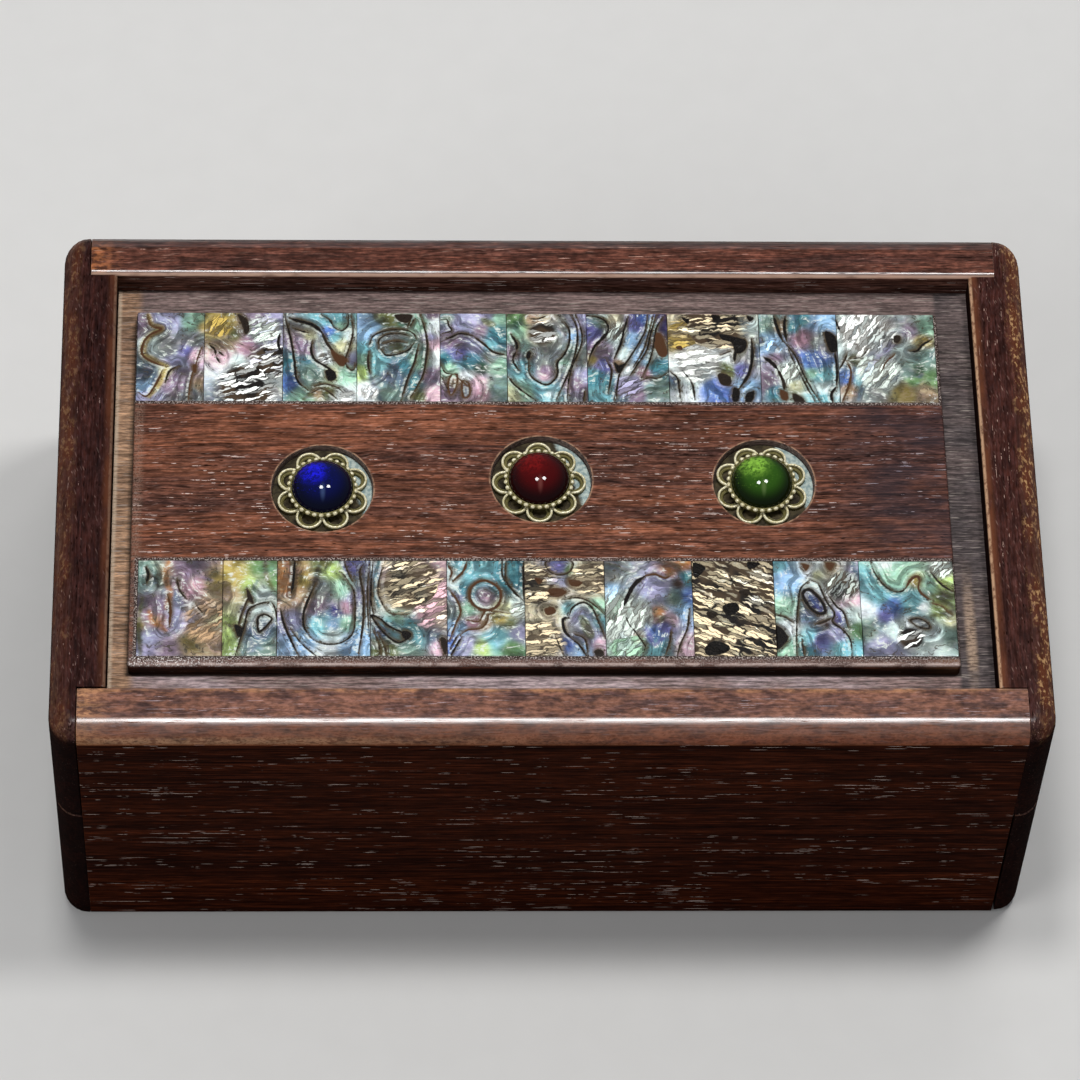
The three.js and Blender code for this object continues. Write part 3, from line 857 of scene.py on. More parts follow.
SLIDING_GAP = 0.3 * MM
for node, gap in (("left_end_lower", 0.0), ("right_end_upper", 0.0), ("lid_end_block", 0.15 * MM),
                  ("drawer_front", SLIDING_GAP)):
    piece = end_block(node, gap)
    print(piece.name, len(piece.data.polygons), "faces")

# %% [markdown]
# ## Boards inside the box
#
# Under the lid lie a tray floor with a finger hole and a drawer that a fingertip pushes out through it.
# They are never polished, so they get a paler, dry wood with the same pores and softly broken edges.

# %% Inner boards
inner_wood = rosewood("plain_inner_wood", ALONG_X, (88, 140, 60), (0.13, 0.062, 0.036), (0.24, 0.125, 0.075),
                      (0.26, 0.16, 0.11), 0.35, 0.4, 0.25, gloss=0.03)


def inner_board(node, axis):
    """A plain board that fills the node's box, with its grain along X."""
    low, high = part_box(node)
    u, v, along = COLUMNS[axis]
    corners = rectangle((low[u], low[v]), (high[u], high[v]), 0.3 * MM)
    return plain_prism(node + "_wood", axis, corners, low[along], high[along], 0.3 * MM, 4 * MM)


BOARD_AXES = {"bottom_board": "Z", "drawer_floor": "Z", "tray_floor": "Z", "drawer_front_side": "X",
              "drawer_back_side": "X", "drawer_end": "Y"}
for node, axis in BOARD_AXES.items():
    piece = inner_board(node, axis)
    if node == "tray_floor":
        tool = lathe("finger_tool", (60 * MM, 0, 0), [(9.3 * MM, 34 * MM), (9.0 * MM, 35.5 * MM),
                                                      (9.0 * MM, 37.8 * MM), (9.4 * MM, 38.4 * MM)])
        combined(piece, [tool], "DIFFERENCE")
    stands_for(even_normals(piece), node, inner_wood)
print("inner boards done")

# %% [markdown]
# ## The sliding lid
#
# The lid is one board. Its edge is planed down to a thin flange that runs in the grooves and still shows
# the saw, while the raised field is smooth. The shell strips lie in shallow pockets, and each
# jewel sits at the bottom of a drilled recess whose rim has been rubbed pale.

# %% Lid panel
FLANGE_LOW = 52.8 * MM
FLANGE_TOP = 56.8 * MM
FIELD_TOP = 59.7 * MM
FIELD_LOW = (-69.8 * MM, -35.5 * MM)
FIELD_HIGH = (67.4 * MM, 34.7 * MM)
TILE_DEPTH = 0.9 * MM
RECESS_FLOOR = 58.0 * MM
RECESS = 8.5 * MM
# The middle of each recess, how far off it the setting was glued, and how far its flower is turned
JEWELS = {"blue": (-38.0 * MM, -1.0 * MM, (0, -0.1 * MM), math.radians(22.5)),
          "red": (-1.2 * MM, 0.9 * MM, (-0.4 * MM, -0.3 * MM), 0.0),
          "green": (36.3 * MM, 0.3 * MM, (-0.4 * MM, -0.3 * MM), math.radians(22.5))}


def strip_box(strip):
    """The lowest and highest corners of a strip of ten tiles."""
    first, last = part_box(strip + "_tile_1"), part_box(strip + "_tile_10")
    joint = 0.05 * MM
    return (first[0].x - joint, first[0].y - joint), (last[1].x + joint, last[1].y + joint)


def lid_panel():
    flange_corners = rectangle((-43.8 * MM, FLANGE_LOW), (43.8 * MM, FLANGE_TOP), SHARP)
    flange = plain_prism("lid_panel_wood", "X", flange_corners, -73.2 * MM, 76.0 * MM, SHARP)
    flange.data.materials.append(sawn_wood)
    field_corners = rectangle(FIELD_LOW, FIELD_HIGH, 0.5 * MM)
    field = plain_prism("field", "Z", field_corners, 55.0 * MM, FIELD_TOP, 0.35 * MM)
    field.data.materials.append(lid_wood)
    tongue_corners = rectangle((-35 * MM, 54 * MM), (35 * MM, 55.6 * MM), 0.1 * MM)
    tongue = plain_prism("tongue", "X", tongue_corners, -76.2 * MM, -70 * MM, 0.1 * MM)
    tongue.data.materials.append(sawn_wood)
    combined(flange, [tongue, field], "UNION")
    tools = [level_bore(side, 40.8 * MM, 45 * MM) for side in (-1, 1)]
    for strip in ("back", "front"):
        low, high = strip_box(strip)
        tools.append(plain_prism("pocket", "Z", rectangle(low, high, 0.1 * MM), FIELD_TOP - TILE_DEPTH, 61 * MM,
                                 0.01 * MM, 20 * MM))
    for x, y, _, _ in JEWELS.values():
        profile = [(RECESS, RECESS_FLOOR), (RECESS, 59.45 * MM), (RECESS + 0.12 * MM, 59.75 * MM),
                   (RECESS + 0.12 * MM, 61 * MM)]
        tools.append(lathe("recess", (x, y, 0), profile, 96))
    combined(flange, tools, "DIFFERENCE")
    return even_normals(flange)


# %% [markdown]
# ## Sawn and worn wood on the lid
#
# The flange was planed down and then left: close, dull lines along the grain, greyer at the back and darker
# at the right, and rubbed almost tan at the left end. On the field the rims of the recesses are worn
# pale, and round the shell there is a rough line of filler with pale lacquer crumbs. Painted glints lie on
# those crumbs and on the field's front lip, a painted highlight runs along the lip's edge, and painted shadow
# darkens the field's sides, the walls of the recesses and the flange where the field meets it. A painted mask
# could hold this, but each of these places is a simple distance, so nodes measure it.

# %% Lid finishes
def rectangle_distance(x, y, low, high):
    """How far a place is from a rectangle's outline, in millimetres: the larger of |x - middle| - half length
    and |y - middle| - half width, below 0 inside."""
    sides = []
    for value, start, end in ((x, low[0], high[0]), (y, low[1], high[1])):
        middle, half = (start + end) / 2 / MM, (end - start) / 2 / MM
        apart = sums("ABSOLUTE", minus(value, middle))
        sides.append(minus(apart, half))
    return largest(*sides)


def mark_lid(material):
    tree = material.node_tree
    place = object_place(tree)
    x, y, z = split(place)
    flat = point_of(x, y, 0.0)
    rims = []
    for jewel_x, jewel_y, _, _ in JEWELS.values():
        middle = (jewel_x / MM, jewel_y / MM, 0)
        apart = vectors("DISTANCE", flat, middle)
        rims.append(near(apart, RECESS / MM + 0.10, 0.34))
    broken = ramp(noise(flat, 0.8, 4), 0.38, 0.6, 0.1, 0.9)
    high = ramp(z, 59.2, 59.5)
    crumbs = noise(place, 3.4, 3, 0.7)
    strips = [rectangle_distance(x, y, *strip_box(strip)) for strip in ("back", "front")]
    filler = times(*[largest(*[near(strip, 0.15, 0.62) for strip in strips]), high])
    lip = times(ramp(y, -34.2, -33.8, 1, 0), ramp(z, 59.1, 59.45))
    # Painted highlight: a pale line along the front edge of the field's lip
    lip_edge_highlight = times(near(y, -35.25, 0.42), ramp(z, 59.1, 59.4))
    worn = noise(place, (0.35, 1.0, 1.0), 4, 0.6)
    clouds = noise(place, (0.05, 0.11, 0.1), 4, 0.6)
    shaded = largest(ramp(x, 44, 60), ramp(y, 14.0, 19.5), ramp(y, -15.5, -19.0))
    shaded = times(shaded, ramp(clouds, 0.36, 0.58, 0.25, 1))
    corner = times(ramp(x, 60, 66), ramp(y, -29, -34), ramp(clouds, 0.4, 0.6, 0.2, 0.8))
    edge_line = times(near(sums("ABSOLUTE", x), 69.2, 1.6), high, ramp(crumbs, 0.4, 0.6, 0, 0.5))
    lay_over(material, [
        (times(shaded, 0.95), (0.46, 0.52, 0.66), "MULTIPLY"),
        (times(shaded, 0.25), (0.085, 0.066, 0.078)),
        (ramp(x, 15, 60), (0.78, 0.80, 0.86), "MULTIPLY"),
        (corner, (0.42, 0.20, 0.085)), (edge_line, (0.30, 0.20, 0.15)),
        (times(lip, ramp(crumbs, 0.36, 0.56, 0.1, 0.8)), (0.17, 0.105, 0.085)),
        (times(lip_edge_highlight, ramp(worn, 0.38, 0.56, 0.1, 0.95)), (0.46, 0.34, 0.30)),
        (filler, (0.035, 0.02, 0.016)),
        # Lacquer crumbs in the filler, pale, with painted glints
        (times(filler, ramp(crumbs, 0.5, 0.6, 0, 0.95)), (0.50, 0.42, 0.38)),
        # Painted glints: white specks on the field's front lip, denser at the left end
        (times(lip, ramp(crumbs, 0.54, 0.60), ramp(x, -68, -44, 1, 0.22)),
         (0.88, 0.84, 0.80)),
        (times(largest(*rims), broken, high), (0.40, 0.24, 0.15)),
        # Painted shadow: the field's sides and the recess walls below its top darken towards black
        (ramp(z, 58.2, 59.45, 0.85, 0), (0.012, 0.007, 0.004))])


def sawn_material():
    material, tree, shader = new_material("sawn_rosewood")
    place = object_place(tree)
    x, y, _ = split(place)
    lines = noise(place, (0.16, 2.7, 2.7), 4, 0.68)
    short = noise(place, (0.8, 3.2, 3.2), 3, 0.65)
    patches = noise(place, (0.05, 0.12, 0.2), 4, 0.6)
    tone = blend(patches, (0.10, 0.068, 0.060), (0.19, 0.135, 0.12))
    at_back = times(ramp(y, 34.8, 36.0), 0.75)
    tone = blend(at_back, tone, (0.185, 0.128, 0.118))
    at_front = ramp(y, -35.6, -36.2, 0, 0.8)
    tone = blend(at_front, tone, blend(ramp(patches, 0.4, 0.6), (0.27, 0.18, 0.165), (0.44, 0.34, 0.35)))
    at_right = times(ramp(x, 67.0, 68.0), ramp(patches, 0.36, 0.6, 1, 0.6))
    tone = blend(at_right, tone, (0.078, 0.062, 0.062))
    at_left = ramp(x, -70.2, -68.4, 1, 0)
    tan = blend(ramp(patches, 0.3, 0.7), (0.24, 0.140, 0.086), (0.48, 0.285, 0.170))
    tone = blend(at_left, tone, tan)
    shade = times(ramp(lines, 0.35, 0.65, 0.45, 1.55), ramp(short, 0.35, 0.65, 0.7, 1.3))
    tone = blend(1.0, tone, grey(shade), "MULTIPLY")
    pale = ramp(noise(place, (0.3, 4.0, 4.0), 3), 0.58, 0.68, 0, 0.55)
    tone = blend(pale, tone, (0.50, 0.42, 0.37))
    rubbed = times(near(x, -73.0, 0.75), ramp(short, 0.35, 0.55, 0.3, 0.9))
    tone = blend(rubbed, tone, (0.62, 0.47, 0.34))
    streak = times(near(x, 69.8, 1.3), ramp(y, -12, -28), ramp(y, -35.5, -33.5, 0.15, 0.8))
    tone = blend(streak, tone, blend(ramp(short, 0.36, 0.6), (0.17, 0.11, 0.075), (0.62, 0.44, 0.31)))
    # Painted shadow: a dark line on the flange along the foot of the field
    field_foot_shadow = near(rectangle_distance(x, y, FIELD_LOW, FIELD_HIGH), 0.0, 0.6)
    tone = blend(times(field_foot_shadow, 0.8), tone, (0.02, 0.012, 0.009))
    feed(shader, {"Base Color": tone, "Roughness": 0.7, "Specular IOR Level": 0.2})
    bump(shader, lines, 0.05 * MM, 0.7)
    return material


sawn_wood = sawn_material()
mark_lid(lid_wood)
panel = stands_for(lid_panel(), "lid_panel")
print(panel.name, len(panel.data.polygons), "faces", [m.name for m in panel.data.materials])

# %% [markdown]
# ## Abalone
#
# Each tile is a slice through the growth layers of a shell. Dark lines are the brown skin between
# layers, rings and drops are places where the shell healed over a blister, and the ribbed parts
# lay under a muscle. A noise texture alone gives marble, not shell, so the main lines, drops, coloured
# patches and ribs of all twenty tiles are placed one by one, as a maker picks each slice, and the nodes
# only add what is finer: silky streaks, ribs, painted sparkle and painted shade beside the lines. The marks are
# written as words and numbers, with places in hundredths of a tile from its left and front edges.

# %% Words for shell
def seen(red, green, blue):
    """A colour chosen on the screen's 0 to 255 scale, as the plain light values that shaders use."""
    screen = np.array([red, green, blue]) / 255
    return np.where(screen <= 0.04045, screen / 12.92, ((screen + 0.055) / 1.055) ** 2.4)


SHELL = {
    "white": seen(238, 240, 234), "pale": seen(205, 216, 206), "pale_gold": seen(214, 208, 158),
    "pale_blue": seen(150, 184, 214), "aqua": seen(122, 180, 184), "teal": seen(66, 122, 130),
    "deep_teal": seen(38, 78, 88), "mint": seen(158, 198, 166), "lime": seen(184, 204, 112),
    "green": seen(112, 150, 92), "dark_green": seen(40, 72, 48), "blue": seen(84, 112, 178),
    "navy": seen(34, 38, 98), "violet": seen(118, 112, 174), "purple": seen(82, 58, 118),
    "lilac": seen(160, 154, 182), "mauve": seen(142, 116, 132), "rose": seen(184, 136, 146),
    "pink": seen(222, 178, 186), "grey": seen(128, 128, 124), "sage": seen(120, 142, 128),
    "slate": seen(86, 98, 112), "tan": seen(166, 136, 104), "orange": seen(164, 106, 58),
    "gold": seen(180, 154, 78), "olive": seen(96, 94, 50), "brown": seen(78, 50, 30),
    "dark": seen(36, 28, 22), "black": seen(14, 12, 12), "cream": seen(218, 200, 164),
    "umber": seen(46, 28, 18),
}


def read_tiles(text):
    """Each tile is a line that starts with # and describes it, and then its marks with commas between them: a
    kind, a tone and numbers. A mark with no kind is a soft spot: its place and, unless it is 20, its reach. A
    line or a ring has its width in hundredths of a millimetre and the points it runs through, a blot has the
    points round it, and ribs have their place, reach, direction in degrees and how dark the gaps are."""
    tiles = []
    for tile in text.strip("# \n").split("#"):
        marks = " ".join(tile.split("\n")[1:]).split(",")
        words = [mark.split() if mark.split()[0] in KINDS else ["spot", *mark.split()] for mark in marks]
        tiles.append([(kind, tone, np.array(numbers, float)) for kind, tone, *numbers in words])
    return tiles


KINDS = ("line", "ring", "blot", "ribs")
print("shell colours", len(SHELL))

# %% Front strip of shell
FRONT_TILES = read_tiles("""
# mauve, with tan veins and a gold mottle on the right
sage 9 86, mauve 60 92, rose 68 68 18, tan 34 88 10, mauve 16 50 16, slate 46 60 12, lilac 50 36 18,
lilac 14 14, mauve 34 8 16, gold 64 16 15, tan 86 58, gold 92 76 16, tan 90 10, pale_gold 96 38 12,
white 66 53 7, orange 26 36 10, gold 2 30 7, line orange 60 36 99 33 82 38 66 34 50,
line brown 50 35 64 39 50 38 30, line dark 35 46 81 49 69 58 59, line dark 30 69 53 78 44,
line orange 50 14 46 20 36 34 26, line olive 30 5 60 2 30 5 2, line black 60 9 93 12 85 10 76,
line umber 40 12 84 20 81 24 73, line mauve 30 66 94 74 84 86 79, ribs tan 84 36 22 35 30
# a grey bell with a small ring
gold 12 84, tan 7 62, lime 50 73 12, pale_gold 20 50 14, lime 4 38 12, pale 72 66 13, green 73 92 14,
pale 73 50 11, slate 64 20 19, sage 86 6 16, lime 5 16 12, green 98 76 12, lilac 39 48 7,
line black 35 89 57 66 54 48 48 42 36 36 23 24 0, line dark 30 89 57 97 49 102 34,
line dark 28 48 62 36 45 27 28, blot black 22 32 34 30 38 24 29 20, blot dark 45 69 53 62 57 55 47 59,
ring black 42 66 40 78 43 91 39 84 33 74 27 67 25 65 32, line sage 25 63 78 55 67 60 56,
line olive 30 4 34 18 30 26 24, line olive 30 78 98 81 82 92 70
# a large egg outlined in black, with a navy eye
orange 12 76 13, gold 28 78 8, tan 26 60 12, lilac 18 36 12, pale_blue 30 16 13, white 53 5 12,
pale_blue 78 7 12, lime 62 89 10, olive 52 97 8, grey 49 69 12, mint 66 72 9, mauve 40 52 10, navy 63 46 7.5,
rose 74 50 6, mint 75 32 8, aqua 46 30 12, pale 60 22 9, pale_blue 60 32 7, violet 78 94 9, lilac 88 60 8,
slate 96 50 9, pale_blue 87 20 9, tan 10 55 8, line umber 70 45 94 40 74,
line black 50 41 76 32 56 28 42 29 30 35 20,
line black 25 34 21 44 14 58 12 72 15 82 25 84 44 83 66 76 79 69 88, line umber 90 18 99 17 78 16 66,
line black 60 18.5 102 17.5 82 15 64, line black 50 3 50 7 34 14 18 23 0, line black 22 14 28 27 12 42 0,
line dark 40 91 94 89 86 93 60 92 30 87 0, line dark 30 72 99 75 90 81 78, line dark 20 99 98 97 60 99 20
# pale pebbled ribs above a dark wedge
pale_blue 6 82 12, pink 18 82 10, cream 46 76 30, pink 80 86 20, aqua 26 30 12, mint 36 39 9, teal 56 32 13,
blue 16 26 7, aqua 60 20 12, slate 78 22 13, olive 20 6 14, sage 50 8 12, pink 88 9 8, cream 90 44 16,
grey 5 42 10, ribs cream 54 76 30 20 90, ribs pink 90 54 26 25 60, line black 25 3 99 1 76 1 54 5 40,
line teal 25 11 99 7 84 6 66 11 52, line dark 25 19 99 12 82 10 66 18 51 26 44 49 43,
ring black 40 1 42 12 29 26 18 38 14 50 20 42 24 24 31 12 39, line dark 25 2 28 10 14 13 0,
line dark 20 9 24 18 10 20 0, blot black 42 26 52 24 51 18 42 19, blot dark 92 19 99 16 99 2 94 6
# teal round a small round ring, over a brown wave
aqua 39 88 15, teal 24 68 10, teal 84 84 15, mauve 49 63 10, pink 52 61 5, teal 66 72 9, pale 6 80 8,
grey 7 52 8, lilac 14 61 7, mint 27 49 9, pale_gold 72 49 10, rose 33 35 8, tan 48 33 8, gold 68 38 8,
olive 82 33 8, aqua 64 20 13, lime 43 9 8, green 82 8 10, lilac 24 13 10, blue 4 14 8, pale_blue 16 28 8,
pale 92 55 8, deep_teal 97 90 6, lilac 90 24 10,
ring brown 55 49 79 59 76 68 69 69 60 63 51 49 48 36 52 29 61 31 71 39 77, line brown 40 1 96 6 88 3 80,
line brown 40 26 99 21 89 7 78, line brown 35 1 70 12 59 17 46 11 34 2 16,
line black 25 71 98 72 84 83 70 99 57, line dark 25 76 98 77 79 95 60, line black 35 99 98 99 60,
line brown 22 25 37 40 36 46 43 52 47 80 44, line brown 30 16 21 26 27 43 29 51 36 53 43 59 44,
line black 35 18 20 10 9 4 1, line dark 25 13 22 3 8, ribs pale 94 48 9 20 60
# brown and cream ribs beside a blue arch with a dark drop
cream 14 50 26, violet 42 94 9, green 57 90 6, lilac 42 79 9, cream 78 80 16, brown 66 76 7, tan 94 80 12,
aqua 54 50 8, mint 89 52 8, lilac 66 42 9, slate 78 44 7, lilac 82 20 10, pink 92 14 7, blue 50 12 8,
pale_blue 70 7 8, aqua 99 34 8, cream 14 10 18, ribs cream 12 74 22 5 95, ribs cream 16 16 22 8 80,
ribs cream 84 82 18 10 80, ring dark 30 27 99 30 90 42 85 56 88 61 98 44 106,
blot brown 30 70 42 71 52 67 42 62 32 63, blot brown 24 49 34 51 38 46 28 43, blot brown 12 82 22 80 18 75,
blot brown 56 80 72 78 68 73 58 74, line black 35 54 39 59 50 72 56 83 51 91 37 99 18,
line dark 25 49 59 67 61 84 55 99 43, line black 60 55 40 47 38 49 26 58 17, line black 45 57 18 67 11 75 0,
line dark 35 60 23 74 17 77 0, line dark 30 37 21 43 8 47 0,
blot olive 68 41 74 40 80 31 84 23 82 19 76 22 71 32, blot dark 85 4 92 7 97 3 92 -3
# a grey and violet blob with orange spots
grey 10 88 15, mint 12 50 12, pale 16 20 15, pale_blue 6 68 9, lilac 58 70 13, grey 38 52 11, lilac 66 80 8,
orange 73 89 7, brown 84 76 6, teal 95 82 7, orange 92 97 6, orange 61 46 6, brown 62 39 7, sage 80 60 10,
blue 54 24 7, violet 67 30 6, aqua 56 7 10, pink 77 40 7, pale_blue 87 46 10, pink 95 6 9, slate 32 32 8,
blue 94 62 8, tan 36 20 7, slate 44 12 6, ribs pale 14 40 26 62 50, ribs mint 24 8 16 45 50,
line black 100 46 84 35 76 26 63 20 49, line dark 30 20 49 26 34 35 23 43 12 44 10 40 0,
line brown 40 46 84 58 86 68 82 76 84, line dark 30 74 28 72 15 66 0, line dark 35 96 50 93 30 84 12 80 0,
line violet 30 46 28 54 12 64 18
# strong cream ribs with black gaps
cream 30 50 40, tan 70 30 20, pale_gold 40 26 16, white 80 70 16, cream 10 80 20, ribs cream 50 50 90 -24 100,
blot black 2 98 16 94 14 89 3 82, blot black 69 99 84 98 78 93 70 92, blot black 12 8 24 16 42 10 36 3 16 1,
blot black 36 52 52 56 56 48 42 42, blot dark 56 68 70 70 66 62, blot dark 16 46 30 44 20 39
# a pale bell with a black drop
pale_blue 14 80 16, aqua 6 94 10, mint 10 52 12, white 16 30 10, mint 12 8 12, white 42 93 10,
pale_gold 50 86 6, pale 42 74 7, slate 36 42 10, grey 58 42 7, brown 57 34 6, violet 50 16 9, lilac 70 22 9,
aqua 38 20 9, teal 32 6 8, aqua 76 8 9, violet 74 40 6, grey 84 76 14, pink 90 62 10, green 95 26 9,
pale 92 44 9, aqua 94 8 8, lilac 94 86 8, cream 70 88 8, line black 28 42 80 31 71 27 55 24 33 22 0,
line black 32 42 80 52 75 60 58 69 45 66 36 78 27 86 16 86 0,
blot navy 40 70 48 65 56 55 58 46 49 45 39 53 33 65, ring black 70 40 70 48 65 56 55 58 46 49 45 39 53 33 65,
line dark 30 29 18 31 0, line black 35 61 67 71 53 80 45 84 29, line dark 50 46 33 56 36 66 40,
line black 28 0 43 10 41 21 34, blot black -2 31 7 28 13 19 7 11 -2 8, ribs pale 80 74 15 60 90,
line deep_teal 60 93 99 99 82, blot brown 34 97 42 96 38 90, blot brown 62 98 72 97 66 90
# aqua with a wandering brown line and a pebbled spot
mint 33 88 16, white 28 96 8, aqua 8 82 10, white 4 50 8, aqua 20 64 10, blue 33 52 9, violet 26 42 6,
aqua 56 56 11, white 66 52 6, sage 6 28 10, pale 38 26 10, lilac 22 8 12, lime 84 52 8, olive 88 62 6,
lime 92 78 8, grey 88 94 8, pale 76 16 13, sage 92 20 12, pale_gold 96 36 7, gold 60 79 6, mint 72 76 7,
white 50 34 6, line black 28 12 99 18 85 26 74 36 68 44 68 50 73, line brown 60 49 72 55 81 62 84 64 79,
line brown 40 64 80 62 71 67 64 74 59, line black 40 76 89 86 76 98 68, line olive 45 74 65 84 60 97 52,
line olive 50 74 42 86 44 98 48, line brown 30 76 55 86 52 94 44, blot grey 52 38 61 39 70 34 70 29 61 30 54 34,
ring black 28 52 38 61 39 70 34 70 29 61 30 54 34, ribs white 51 19 11 30 100, ribs pale 88 92 9 50 70
""")
print("front strip", sum(len(tile) for tile in FRONT_TILES), "marks")

